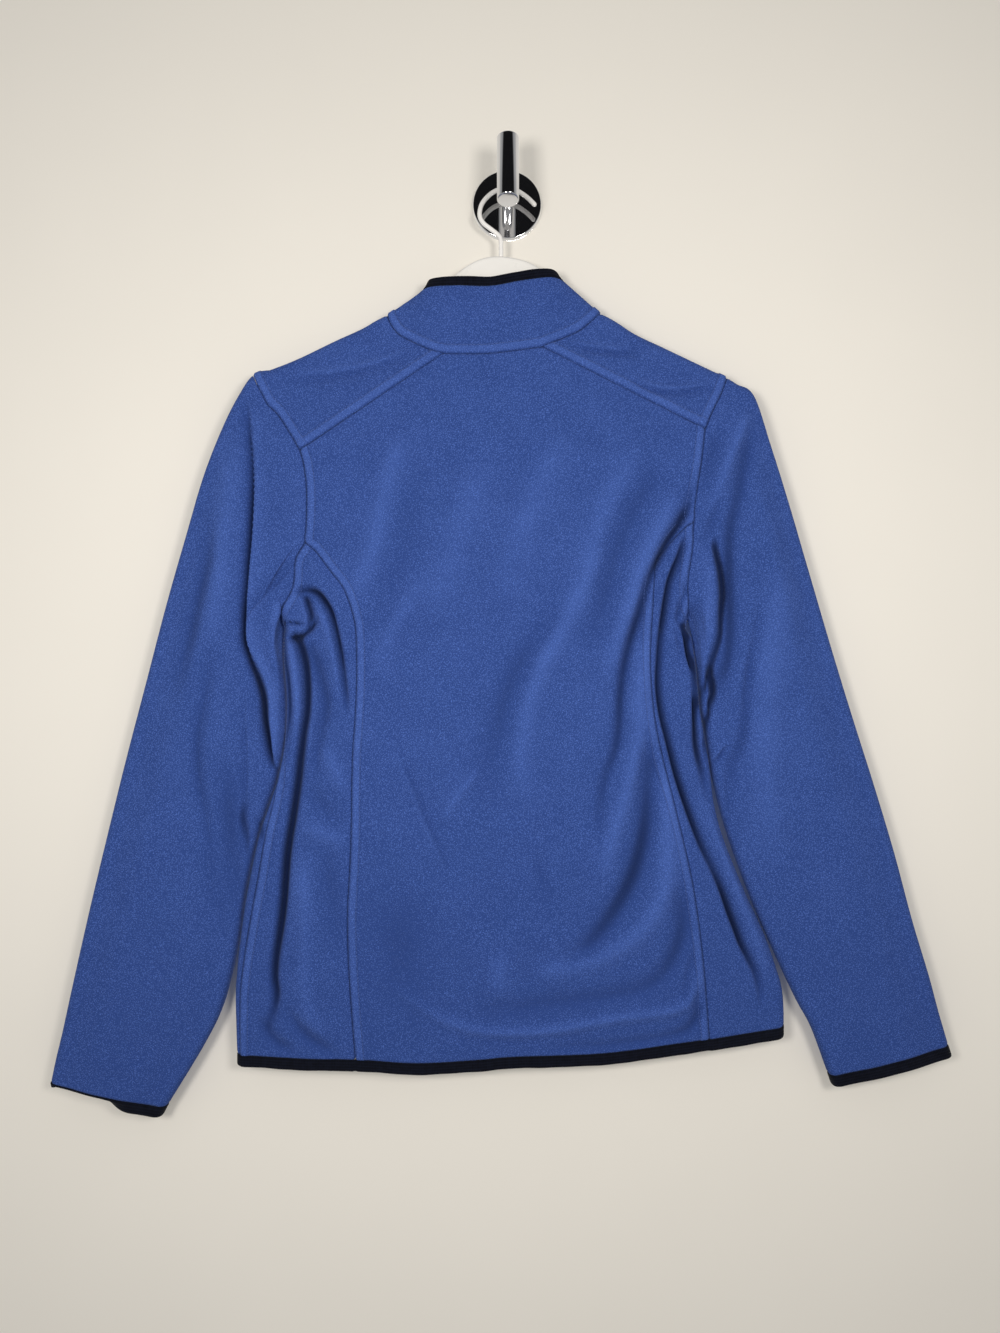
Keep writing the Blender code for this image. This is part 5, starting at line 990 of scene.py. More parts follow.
def sleeve_rings(side):
    """Bare rings of a sleeve, their normals, the height of its folds, and the number of its underarm column."""
    ring, turn = armhole_ring(side)
    base, normals = place(ring)
    normals = mitre(base, normals)
    count, steps = len(ring), np.arange(len(ring))
    round_arm = lengths(np.vstack([base, base[:1]]))
    across = np.where(steps <= turn, round_arm[:-1] / round_arm[turn],
                      (round_arm[-1] - round_arm[:-1]) / (round_arm[-1] - round_arm[turn]))
    sheet = np.where(steps <= turn, BACK, FRONT)
    stations = np.concatenate([np.linspace(0, 1, CAP_RINGS + 1) ** CAP_POWER * CAP_SHARE,
                               CAP_SHARE + (1 - CAP_SHARE) * graded(ARM_LENGTH, 2.8, start=False)[1:]])
    outer_x, outer_z, inner_x, inner_z, half_depth = (curve_of(side["sleeve"], k)(stations)[:, None]
                                                      for k in range(1, 6))
    clear = side["sign"] * CLEARANCE * smooth((stations - 0.03) / 0.05)[:, None]
    outer = np.stack([outer_x, outer_z], -1)
    inner = np.stack([inner_x - clear, inner_z], -1)
    width = np.linalg.norm(inner - outer, axis=-1)
    cut = width - 2 * TURN + math.pi * TURN
    depth = roll(np.minimum(across * cut, (1 - across) * cut))[0]
    depth = np.where(across < 0.5, depth, width - depth)
    chord = outer + (inner - outer) * (depth / width)[..., None]
    half = section_depth(depth, width, half_depth)
    time = np.clip(stations / CAP_SHARE, 0, 1)[:, None, None]
    leave = np.column_stack([-side["sign"] * (LEAVE_MIN + LEAVE_BOW * across * (1 - across)), np.zeros(count)])
    near_end = slice(CAP_RINGS - 1, CAP_RINGS + 2, 2)
    arrive = np.diff(chord[near_end], axis=0)[0] / np.diff(stations[near_end]) * CAP_SHARE
    cap = ((2 * time ** 3 - 3 * time ** 2 + 1) * base[:, [0, 2]] + (time ** 3 - 2 * time ** 2 + time) * leave
           + (3 * time ** 2 - 2 * time ** 3) * chord[CAP_RINGS] + (time ** 3 - time ** 2) * arrive)
    inside = across[None, :, None]
    cap += (1 - inside) * (outer - cap[:, :1]) + inside * (inner - cap[:, turn:turn + 1])
    flat = np.where(np.arange(len(stations))[:, None, None] < CAP_RINGS, cap, chord)
    blend = 1 - smooth(stations / CAP_SHARE)[:, None]
    y = blend * base[:, 1] + (1 - blend) * (HANG_Y + sheet * half)
    rings = np.stack([flat[..., 0], y, flat[..., 1]], -1)
    rings[0] = base
    facing = grid_normals(rings, closed=True)
    away = rings - rings.mean(1, keepdims=True)
    facing *= np.sign((facing * away).sum())
    facing[0] = normals
    fade = blend * smooth((near_outline(ring[:, 0], ring[:, 1]) - EDGE_START) / SLEEVE_FADE)
    fade += (1 - blend) * smooth((np.minimum(depth, width - depth) - EDGE_START) / SLEEVE_FADE)
    x, z = flat[..., 0], flat[..., 1]
    heights = np.where(sheet < 0, fold_height(x, z, FOLDS), fold_height(x, z, FRONT_FOLDS))
    return rings, facing, (heights, fade), turn


for side in (LEFT, RIGHT):
    rings, normals, heights, turn = sleeve_rings(side)
    name = "sleeve_" + side["name"]
    armhole = np.vstack([rings[0], rings[0][:1]])
    cloth(name, rings, normals, heights, [(armhole, False), (rings[4:, turn], False), (rings[-1], False)],
          closed=True)
    side["rings"], side["facing"], side["heights"] = rings, normals, heights[0] * heights[1]
    print(name, "rings", len(rings), "round the cuff",
          round(float(np.linalg.norm(np.diff(rings[-1], axis=0), axis=1).sum())), "mm")

# %% [markdown]
# ## Collar
#
# The stand collar is a band between the neck seam and its own top edge, which leans in towards the neck.

# %% Collar
COLLAR_STEPS = graded(58, 2.4)
neck = np.vstack([grids["front_left"][NECK_ROW:, -1], grids["back"][-1][1:-1],
                  grids["front_right"][NECK_ROW:, -1][::-1]])
neck_points, neck_normals = place(neck)
share = lengths(neck_points) / lengths(neck_points)[-1]
collar_top = np.column_stack([curve_of(COLLAR_TOP, k)(share) for k in (1, 2, 3)])
rise = COLLAR_STEPS[:, None, None]
collar_points = neck_points * (1 - rise) + collar_top * rise
collar_normals = grid_normals(collar_points)
collar_normals *= -np.sign(collar_normals[len(rise) // 2, len(neck) // 2, 1])
collar_normals[0] = neck_normals
neck_folds = np.prod(folds_on(neck), 0)
collar_folds = (neck_folds * (1 - smooth(COLLAR_STEPS * 2))[:, None], 1.0)
cloth("collar", collar_points, collar_normals, collar_folds,
      [(collar_points[0], True), (collar_points[-1], False)])
print("collar", round(float(lengths(collar_top)[-1])), "mm round its top edge")

# %% [markdown]
# ## Knit bindings
#
# The hem, the cuffs and the collar's top are bound with a folded strip of dark knit, thicker than the
# fleece and round at its free edge. A binding is a set of rows carried on from the edge, between two faces
# whose distance follows a quarter ellipse towards the free edge.

# %% Bindings
BIND_ROWS = np.array([0, 0.04, 0.1, 0.2, 0.35, 0.5, 0.65, 0.8, 0.88, 0.94, 0.98, 1.0])
BIND_WIDTH, COLLAR_BIND_WIDTH = 10.2, 8.0
BIND_GAP, BIND_FIRST = 0.3, 0.45        # where the strip starts, and the least that its second row is away
CURL_FROM, CURL_RUN, CURL_ANGLE = 0.76, 0.36, math.radians(92)
CURL_RATE = 4.0                         # the strip has turned fully at 1 / this of its width


def rounded(rows):
    """Half thickness over RIB / 2: about sqrt(1 - t^2) in the last fifth of a binding, and a dip at the seam."""
    end = np.clip((rows - 0.8) / 0.2, 0, 1)
    start = 1 - np.clip(rows / 0.1, 0, 1)
    return np.sqrt(1 - 0.97 * end ** 2) * (1 - 0.35 * start ** 2)


def binding(name, edge, normals, direction, width):
    """Rows carried on from an edge in a direction, with rounded faces."""
    wave = 0.16 * np.sin(lengths(edge) / 9.0) + 0.12 * np.sin(lengths(edge) / 4.1 + 1.0)
    reach = BIND_ROWS[:, None] * (width + wave)
    reach[1:] = np.maximum(reach[1:], BIND_FIRST)
    reach[0] = BIND_GAP
    rows = edge + reach[..., None] * direction
    half = (RIB / 2 * rounded(BIND_ROWS))[:, None, None]
    core = rows - CLOTH / 2 * normals
    facing = np.broadcast_to(normals, rows.shape)
    return shell(name, core + half * facing, core - half * facing, facing)


def denser(points, step=1.6):
    """The same line with points about `step` apart."""
    total = lengths(points)[-1]
    return divide(points, np.linspace(0, 1, int(total / step)))


def bound_edge(name, edge, normals, direction, width, *nodes):
    """A binding on an open edge, with its points evenly spaced."""
    both = denser(np.hstack([edge, normals, np.broadcast_to(direction, edge.shape)]))
    piece = binding(name, both[:, :3], unit(both[:, 3:6]), unit(both[:, 6:]), width)
    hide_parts(*nodes)
    return piece


hem_places = np.vstack([grids["front_left"][0][::-1], grids["back_side_left"][0][1:], grids["back"][0][1:],
                        grids["back_side_right"][0][::-1][1:], grids["front_right"][0][1:]])
hem_edge, hem_normals = place(hem_places)
hem_edge = hem_edge + np.prod(folds_on(hem_places), 0)[:, None] * hem_normals
hem_nodes = ["hem_binding_" + part for part in ("front_left", "side_left", "back", "side_right", "front_right")]
bindings = {"hem_binding": bound_edge("hem_rib", hem_edge, hem_normals, (0.0, 0.0, -1.0), BIND_WIDTH,
                                      *hem_nodes)}
upward = collar_points[-1] - collar_points[-2]
tangent = unit(np.gradient(collar_points[-1], axis=0))
upward = unit(upward - (upward * tangent).sum(-1, keepdims=True) * tangent)
bindings["collar_binding"] = bound_edge("collar_rib", collar_points[-1], collar_normals[-1], upward,
                                        COLLAR_BIND_WIDTH, "collar_binding")


def cuff_binding(side):
    """A cuff's binding; the left one is turned in round the edge along its outer half."""
    edge, facing = side["rings"][-1], side["facing"][-1]
    edge = edge + side["heights"][-1][:, None] * facing
    axis = unit((side["rings"][-1] - side["rings"][-4]).mean(0))
    across = np.abs(edge[:, 0] - side["sleeve"][-1][1]) / np.ptp(edge[:, 0])
    curled = smooth((CURL_FROM - across) / CURL_RUN) if side is LEFT else np.zeros(len(edge))
    to_room = smooth(-facing[:, 1])
    angle = CURL_ANGLE * curled * np.maximum(to_room, 0.3)
    reach = BIND_WIDTH * (1 - 0.6 * curled * (1 - to_room))
    rows, row_facing = [edge + axis * BIND_GAP], [facing]
    for start, end in zip(BIND_ROWS, BIND_ROWS[1:]):
        bend = (angle * min(1, CURL_RATE * (start + end) / 2))[:, None]
        rows.append(rows[-1] + (axis * np.cos(bend) - facing * np.sin(bend)) * (reach * (end - start))[:, None])
        bend = (angle * min(1, CURL_RATE * end))[:, None]
        row_facing.append(facing * np.cos(bend) + axis * np.sin(bend))
    rows, row_facing = np.stack(rows), np.stack(row_facing)
    half = (RIB / 2 * rounded(BIND_ROWS))[:, None, None]
    core = rows - CLOTH / 2 * row_facing
    piece = shell("cuff_rib_" + side["name"], core + half * row_facing, core - half * row_facing, row_facing,
                  closed=True)
    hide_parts("cuff_binding_" + side["name"])
    return piece


for side in (LEFT, RIGHT):
    bindings["cuff_binding_" + side["name"]] = cuff_binding(side)
print("bindings:", ", ".join(bindings))

# %% [markdown]
# ## Zip
#
# The zip closes the fronts and faces the wall. It is two woven tapes with a moulded coil along their inner
# edges. Each tape is a thin strip along the fronts' centre line, and each tooth is a short rounded bar
# across it, turned to the left and to the right in turn. All teeth come from one small shape, placed by an
# array of frames.

# %% Centre line, tapes and teeth
TAPE_FACE = -(CLOTH + RIB) / 2 - 0.3        # outer face of the tapes, from the fronts' face
TAPE_NEAR, TAPE_FAR, TAPE_THICK = 3.0, 14.0, 1.0
TAPE_TAIL = 8.0                             # tape below the fronts' hem
TOOTH_PITCH, TOOTH_SIZE, TOOTH_SHIFT = 1.5, (1.65, 0.62, 1.0), 0.9     # half length, width and height
opening = [np.vstack([place(grids["front_" + name][:NECK_ROW + 1, -1])[0], collar_points[1:, column]])
           for name, column in (("left", 0), ("right", -1))]
zip_centre = (opening[0] + opening[1]) / 2
zip_centre = np.vstack([zip_centre[0] + unit(zip_centre[0] - zip_centre[1]) * TAPE_TAIL, zip_centre])
zip_across = unit(np.vstack([(opening[1] - opening[0])[:1], opening[1] - opening[0]]))
zip_out = np.cross(zip_across, np.gradient(zip_centre, axis=0))
zip_out = unit(zip_out * np.sign(zip_out[:, 1:2]))


def zip_tape(name, near, far):
    """A woven strip between two offsets across the centre line."""
    offsets = np.linspace(near, far, 8)[:, None]
    outer = zip_centre[:, None] + offsets * zip_across[:, None] + zip_out[:, None] * TAPE_FACE
    facing = np.broadcast_to(zip_out[:, None], outer.shape)
    piece = shell(name, outer, outer - TAPE_THICK * facing, facing)
    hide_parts(name.replace("_weave", ""))
    return piece


tapes = [zip_tape("zip_tape_left_weave", -TAPE_FAR, -TAPE_NEAR),
         zip_tape("zip_tape_right_weave", TAPE_NEAR, TAPE_FAR)]


def rounded_bar(half_length, half_width, half_height, sides=6):
    """A bar along x with rounded ends: rings of an ellipse whose size follows the end's curve."""
    stations = np.array([-1, -0.82, 0.82, 1])[:, None] * half_length
    size = np.array([0.4, 1, 1, 0.4])[:, None]
    turn = np.arange(sides) * 2 * math.pi / sides
    rings = np.stack(np.broadcast_arrays(stations, size * half_width * np.cos(turn),
                                         size * half_height * np.sin(turn)), -1)
    index = np.arange(4 * sides).reshape(4, sides)
    around = strips(np.concatenate([index, index[:, :1]], 1))
    return rings.reshape(-1, 3), around[:, ::-1], np.stack([index[0, ::-1], index[-1]])[:, ::-1]


def repeat_shape(name, shape, origins, frames):
    """Copies of one shape: a vertex (x, y, z) goes to origin + x along + y across + z out."""
    vertices, quads, caps = shape
    placed = origins[:, None] + np.einsum("vk,nkj->nvj", vertices, frames)
    step = (np.arange(len(origins)) * len(vertices))[:, None, None]
    faces = (quads + step).reshape(-1, 4).tolist() + (caps + step).reshape(-1, caps.shape[1]).tolist()
    return new_object(name, placed.reshape(-1, 3), faces)


zip_frame = np.hstack([zip_centre, zip_across, zip_out])
teeth_line = along(zip_frame, np.arange(1.0, lengths(zip_centre)[-1] - 4.0, TOOTH_PITCH))
tooth_at, tooth_across, tooth_out = teeth_line[:, :3], unit(teeth_line[:, 3:6]), unit(teeth_line[:, 6:])
way = np.where(np.arange(len(tooth_at)) % 2, 1.0, -1.0)[:, None]
tooth_frames = np.stack([tooth_across * way, np.cross(tooth_out, tooth_across * way), tooth_out], 1)
teeth = repeat_shape("zip_teeth_coil", rounded_bar(*TOOTH_SIZE),
                     tooth_at + tooth_across * way * TOOTH_SHIFT + tooth_out * (TAPE_FACE - TAPE_THICK / 2),
                     tooth_frames)
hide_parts("zip_chain")
print(len(tooth_at), "teeth over", round(float(lengths(zip_centre)[-1])), "mm of zip")

# %% [markdown]
# ## Topstitching
#
# The raised band beside each seam is held down by a line of stitches. The line is where the distance from
# the seam reaches the band's width, found by interpolation along each row of a panel's grid. A stitch is a
# rounded bar of thread 2.3 mm long that lies in the groove.

# %% Stitches
STITCH_PITCH, STITCH_HALF, THREAD = 3.2, 1.15, 0.24
STITCH_END, STITCH_RAISE = 1.5, 0.06     # bare line at each end, and height over the groove


def stitch_line(points, normals, distance, axis, from_end):
    """Where the distance first reaches BAND, going into the piece along one axis of its grid."""
    both = [np.moveaxis(values, axis, 1) for values in (points, normals)]
    distance = np.moveaxis(distance, axis, 1)
    if from_end:
        both, distance = [values[:, ::-1] for values in both], distance[:, ::-1]
    reached = (distance >= BAND)[:, 1:]
    rows = np.flatnonzero(reached.any(1))
    stop = reached[rows].argmax(1) + 1
    low, high = distance[rows, stop - 1], distance[rows, stop]
    share = np.clip((BAND - low) / np.maximum(high - low, 1e-6), 0, 1)[:, None]
    return [values[rows, stop - 1] * (1 - share) + values[rows, stop] * share for values in both]


stitch_parts = []
corner, shoulder = len(SIDE_STEPS) - 1, len(SIDE_STEPS) + len(ARM_STEPS) - 2
for name, (outer, normals) in cloth_faces.items():
    if name.startswith("sleeve"):
        continue
    if name == "back":
        runs = [(2, 1, False, slice(0, corner + 1)), (3, 1, False, slice(corner, shoulder + 1)),
                (5, 1, True, slice(0, corner + 1)), (6, 1, True, slice(corner, shoulder + 1))]
    elif name.startswith("back_side"):
        runs = [(1, 1, False, slice(None)), (3, 0, True, slice(None))]
    elif name == "collar":
        runs = [(0, 0, False, slice(None))]
    else:
        runs = [(2, 1, False, slice(corner, None)), (3, 0, True, slice(None)),
                (4, 1, True, slice(0, NECK_ROW + 1))]
    for band, axis, from_end, part in runs:
        cut = (part, slice(None)) if axis == 1 else (slice(None), part)
        line, facing = stitch_line(outer[cut], normals[cut], band_distances[name][band][cut], axis, from_end)
        both = np.hstack([line, facing])
        total = lengths(line)[-1]
        places = np.linspace(STITCH_END, total - STITCH_END, int(total / STITCH_PITCH))
        both = along(both, places * lengths(both)[-1] / total)
        line, facing = both[:, :3], unit(both[:, 3:])
        run = unit(np.gradient(line, axis=0))
        side_way = unit(np.cross(facing, run))
        frames = np.stack([run, side_way, np.cross(run, side_way)], 1)
        stitch_parts.append((line + facing * STITCH_RAISE, frames))
stitches = repeat_shape("topstitching", rounded_bar(STITCH_HALF, THREAD, THREAD),
                        np.concatenate([at for at, _ in stitch_parts]),
                        np.concatenate([frames for _, frames in stitch_parts]))
print(sum(len(at) for at, _ in stitch_parts), "stitches")

# %% [markdown]
# ## Hanger
#
# A flat white plastic hanger carries the shoulders, and only its hump shows above the collar. It is a
# rounded upright section carried from end to end, and its hook is a coated wire bent in one plane, which is
# a circle carried along a smooth route.

# %% Hanger and its hook
# x, top and bottom
HANGER_HUMP = np.array([
    (-124, -122.5, -137), (-108, -119.5, -132), (-92, -117, -127), (-76, -114, -122), (-62, -107, -117),
    (-55, -92, -112), (-52, -79, -108), (-45, -69.3, -105), (-32, -60, -101), (-19, -54.8, -98),
    (-7, -53.7, -98), (6, -55.2, -98), (19, -59, -98), (30, -65.6, -100), (36.5, -76, -104), (39, -91, -110),
    (47, -108, -115), (60, -115, -122), (78, -118, -129), (92, -120.5, -134), (106, -124.5, -138)])
HANGER_ENDS, ARM_HEIGHT, ARM_HALF_THICK, ARM_ROUNDING = (-217.0, 186.0), 14.0, 4.2, 3.6
ARM_GAP, TIP_ROUNDING = 1.0, 4.0        # below the cloth, and the rounding of the arms' tips
CORNER_STEPS = 7
WIRE_RADIUS = 2.0
# x and z of the wire, from the hump to its tip
HOOK_WIRE = [(-5.5, -53.5), (-5.5, -46), (-5.7, -38.5), (-7.8, -34.4), (-14, -29.3), (-20.5, -24.3), (-24, -19),
             (-24.4, -13), (-22.4, -6.4), (-18, -0.6), (-12, 4.2), (-4.5, 7.0), (3, 7.0), (10, 4.6), (17, 0),
             (22, -4.6), (25.6, -8.4)]


def round_end(to_end, radius, least):
    """Share of full size near a rounded end: sqrt(1 - (1 - d / r)^2), and at least sqrt(least)."""
    return np.sqrt(np.clip(1 - (1 - np.clip(to_end / radius, 0, 1)) ** 2, least, 1))


def loft(name, rings):
    """A closed surface through rings of the same size, with a flat cap on each end."""
    rows, columns = rings.shape[:2]
    index = np.arange(rows * columns).reshape(rows, columns)
    faces = strips(np.concatenate([index, index[:, :1]], 1))
    middle_ring = rings[rows // 2]
    facing = np.cross(middle_ring[1] - middle_ring[0], rings[rows // 2 + 1, 0] - middle_ring[0])
    caps = np.stack([index[0, ::-1], index[-1]])
    if np.dot(facing, middle_ring[0] - middle_ring.mean(0)) < 0:
        faces, caps = faces[:, ::-1], caps[:, ::-1]
    return new_object(name, rings.reshape(-1, 3), faces.tolist() + caps.tolist())


arms = [np.linspace(HANGER_ENDS[0], HANGER_HUMP[0, 0], 9)[:-1],
        np.linspace(HANGER_HUMP[-1, 0], HANGER_ENDS[1], 9)[1:]]
tops = [np.column_stack([x, shoulder_line(x) - CLOTH - ARM_GAP]) for x in arms]
hanger_top = spline(np.vstack([tops[0], HANGER_HUMP[:, :2], tops[1]]), 5)
lows = np.vstack([tops[0] - (0, ARM_HEIGHT), HANGER_HUMP[:, [0, 2]], tops[1] - (0, ARM_HEIGHT)])
hanger_low = np.interp(hanger_top[:, 0], *spline(lows, 5).T)
half_height = (hanger_top[:, 1] - hanger_low) / 2
quarter = np.repeat(np.arange(4), CORNER_STEPS) + np.tile(np.linspace(0, 1, CORNER_STEPS), 4)
turn_round = np.column_stack([np.cos(quarter * math.pi / 2), np.sin(quarter * math.pi / 2)])
corners = np.repeat(np.array([(1, 1), (-1, 1), (-1, -1), (1, -1)], float), CORNER_STEPS, axis=0)
reach = np.column_stack([np.full(len(half_height), ARM_HALF_THICK), half_height])
section = corners * (reach[:, None] - ARM_ROUNDING) + turn_round * ARM_ROUNDING
section *= round_end(np.minimum(hanger_top[:, 0] - HANGER_ENDS[0], HANGER_ENDS[1] - hanger_top[:, 0]),
                     TIP_ROUNDING, 0.05)[:, None, None]
hanger_rings = np.stack([np.broadcast_to(hanger_top[:, :1], section.shape[:2]), HANG_Y + section[..., 0],
                         ((hanger_top[:, 1] + hanger_low) / 2)[:, None] + section[..., 1]], -1)
hanger = loft("hanger_body", hanger_rings)
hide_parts("hanger")


def round_bar(name, route, radii, sides=20):
    """A circle carried along a route in the hanger's plane: centre + radius * (cos * sideways + sin * Y)."""
    run = unit(np.gradient(route, axis=0))
    sideways = np.stack([-run[:, 1], np.zeros(len(run)), run[:, 0]], -1)[:, None]
    turn = (np.arange(sides) * 2 * math.pi / sides)[None, :, None]
    centre = np.insert(route, 1, HANG_Y, axis=1)[:, None]
    ring = np.cos(turn) * sideways + np.sin(turn) * np.array([0.0, 1.0, 0.0])
    return loft(name, centre + radii[:, None, None] * ring)


wire_route = divide(spline(HOOK_WIRE), np.linspace(0, 1, 150))
to_tip = lengths(wire_route)[-1] - lengths(wire_route)
wire = round_bar("hanger_hook_wire", wire_route, WIRE_RADIUS * round_end(to_tip, WIRE_RADIUS, 0.04))
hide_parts("hanger_hook")
print("hook wire", round(float(lengths(wire_route)[-1])), "mm long")

# %% [markdown]
# ## Wall hook
#
# The hook is turned metal: a round plate on the wall, a pin, and an upright peg on the pin's end. Each is a
# profile of (distance along the axis, radius) turned about its axis, with small rounded edges that catch
# light. The peg leans a little, and its lower end is cut at a slight slant.

# %% Plate, pin and peg
def turned(name, profile, origin, axis, segments=96, slant=0.0):
    """A profile turned about an axis through an origin: origin + d * axis + r * (cos * u + sin * v).

    A slant adds -slant * r * cos to the distance d of the first end's points.
    """
    axis = unit(np.asarray(axis, float))
    u = unit(np.cross(axis, (1.0, 0.0, 0.0)))
    v = np.cross(axis, u)
    angle = (np.arange(segments) * 2 * math.pi / segments)[None, :, None]
    along_axis, radius = (np.asarray(profile, float)[:, k, None, None] for k in (0, 1))
    first_end = along_axis < along_axis[len(along_axis) // 2]
    along_axis = along_axis - slant * radius * np.cos(angle) * first_end
    spoke = np.cos(angle) * u + np.sin(angle) * v
    return loft(name, np.asarray(origin, float) + along_axis * axis + radius * spoke)


def edge_arc(start, end, radius, rounding, steps=6):
    """Profile of a cylinder whose two edges are rounded by quarter circles."""
    bend = np.linspace(0, math.pi / 2, steps)
    first = np.column_stack([start + rounding * (1 - np.cos(bend)), radius - rounding * (1 - np.sin(bend))])
    last = np.column_stack([end - rounding * (1 - np.cos(bend)), radius - rounding * (1 - np.sin(bend))])[::-1]
    inside = radius - rounding - 0.3
    return np.vstack([(start, inside), first, last, (end, inside)])


PLATE_THICK, PLATE_RADIUS = 6.0, 30.8
PIN_X, PIN_START, PIN_END, PIN_RADIUS = 0.4, 6.3, 53.0, 4.7
PEG_HALF, PEG_RADIUS, PEG_MIDDLE, PEG_LEAN, PEG_SLANT = 28.5, 9.4, (PIN_X, -55.0, 6.7), math.radians(6.0), 0.12
OUT_OF_WALL = (0, -1, 0)
plate = turned("wall_plate_turned", edge_arc(0, PLATE_THICK, PLATE_RADIUS, 0.8), (0, 0, 0), OUT_OF_WALL, 128)
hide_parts("wall_plate")
peg = turned("wall_hook_peg", edge_arc(-PEG_HALF, PEG_HALF, PEG_RADIUS, 0.9), PEG_MIDDLE,
             (0, math.sin(PEG_LEAN), math.cos(PEG_LEAN)), slant=PEG_SLANT)
pin = turned("wall_hook_pin", edge_arc(PIN_START, PIN_END, PIN_RADIUS, 0.3), (PIN_X, 0, 0), OUT_OF_WALL, 64)
for piece in (peg, pin):
    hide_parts("wall_hook")

# %% [markdown]
# ## Finishes
#
# Every finish is procedural. Two effects are shared as node groups: cloudy patches, which keep any surface
# from being one flat colour, and fine lines along a UV direction, for knit and woven cloth. A group gives
# out values only; the shader stays in the material, and numbers that never change are set on the shader's
# own sockets.

# %% Node helpers and shared groups
def add(tree, kind, inputs=None, **settings):
    """A node with its settings; an input is a number, a colour or another node's socket."""
    made = tree.nodes.new(kind)
    for name, value in settings.items():
        setattr(made, name, value)
    for key, value in (inputs or {}).items():
        if isinstance(value, bpy.types.NodeSocket):
            tree.links.new(value, made.inputs[key])
        else:
            made.inputs[key].default_value = value
    return made


def new_group(name, inputs, outputs):
    """An empty shader group with named sockets; inputs are (name, kind, value)."""
    group = bpy.data.node_groups.new(name, "ShaderNodeTree")
    for label, kind, value in inputs:
        socket = group.interface.new_socket(name=label, in_out="INPUT", socket_type=kind)
        if value is not None:
            socket.default_value = value
    for label in outputs:
        group.interface.new_socket(name=label, in_out="OUTPUT", socket_type="NodeSocketFloat")
    return group, group.nodes.new("NodeGroupInput").outputs, group.nodes.new("NodeGroupOutput").inputs


cloudy, given, result = new_group("Cloudy patches", [("Vector", "NodeSocketVector", None),
                                                     ("Patches per metre", "NodeSocketFloat", 20.0),
                                                     ("Low", "NodeSocketFloat", 0.0),
                                                     ("High", "NodeSocketFloat", 1.0)], ["Value"])
patches = add(cloudy, "ShaderNodeTexNoise", {"Vector": given["Vector"], "Scale": given["Patches per metre"],
                                             "Detail": 3.0, "Roughness": 0.55})
spread = add(cloudy, "ShaderNodeMapRange", {"Value": patches.outputs["Fac"], "From Min": 0.3, "From Max": 0.7,
                                            "To Min": given["Low"], "To Max": given["High"]})
cloudy.links.new(spread.outputs["Result"], result["Value"])

lines, given, result = new_group("Fine lines", [("UV", "NodeSocketVector", None),
                                                ("Across lines per metre", "NodeSocketFloat", 800.0),
                                                ("Along lines per metre", "NodeSocketFloat", 0.0)], ["Height"])
split = add(lines, "ShaderNodeSeparateXYZ", {"Vector": given["UV"]})
waves = []
for axis, count in (("X", "Across lines per metre"), ("Y", "Along lines per metre")):
    phase = add(lines, "ShaderNodeMath", {0: split.outputs[axis], 1: given[count]}, operation="MULTIPLY")
    turns = add(lines, "ShaderNodeMath", {0: phase.outputs[0], 1: 2 * math.pi}, operation="MULTIPLY")
    waves.append(add(lines, "ShaderNodeMath", {0: turns.outputs[0]}, operation="COSINE"))
both_ways = add(lines, "ShaderNodeMath", {0: waves[0].outputs[0], 1: waves[1].outputs[0]}, operation="ADD")
height = add(lines, "ShaderNodeMath", {0: both_ways.outputs[0], 1: 0.25, 2: 0.5}, operation="MULTIPLY_ADD")
lines.links.new(height.outputs[0], result["Height"])


def new_finish(name, roughness, **constants):
    """A material with its Principled shader's constants set, and its Object coordinates."""
    look = bpy.data.materials.new(name)
    look.use_nodes = True
    tree = look.node_tree
    shader = tree.nodes["Principled BSDF"]
    shader.inputs["Roughness"].default_value = roughness
    for key, value in constants.items():
        shader.inputs[key.replace("_", " ")].default_value = value
    return look, tree, shader, add(tree, "ShaderNodeTexCoord").outputs["Object"]


def use_group(tree, group, inputs):
    """One of the shared groups with its own values."""
    return add(tree, "ShaderNodeGroup", inputs, node_tree=group)


def blend(tree, factor, dark, light):
    """A colour between two others."""
    mixed = add(tree, "ShaderNodeMix", {"Factor": factor}, data_type="RGBA")
    for slot, value in (("A", dark), ("B", light)):
        socket = next(s for s in mixed.inputs if s.name == slot and s.type == "RGBA")
        if isinstance(value, bpy.types.NodeSocket):
            tree.links.new(value, socket)
        else:
            socket.default_value = (*value, 1)
    return next(s for s in mixed.outputs if s.type == "RGBA")


def raise_bump(tree, shader, height, distance, strength=1.0):
    """A bump of a height in metres."""
    bump = add(tree, "ShaderNodeBump", {"Height": height, "Distance": distance, "Strength": strength})
    tree.links.new(bump.outputs["Normal"], shader.inputs["Normal"])
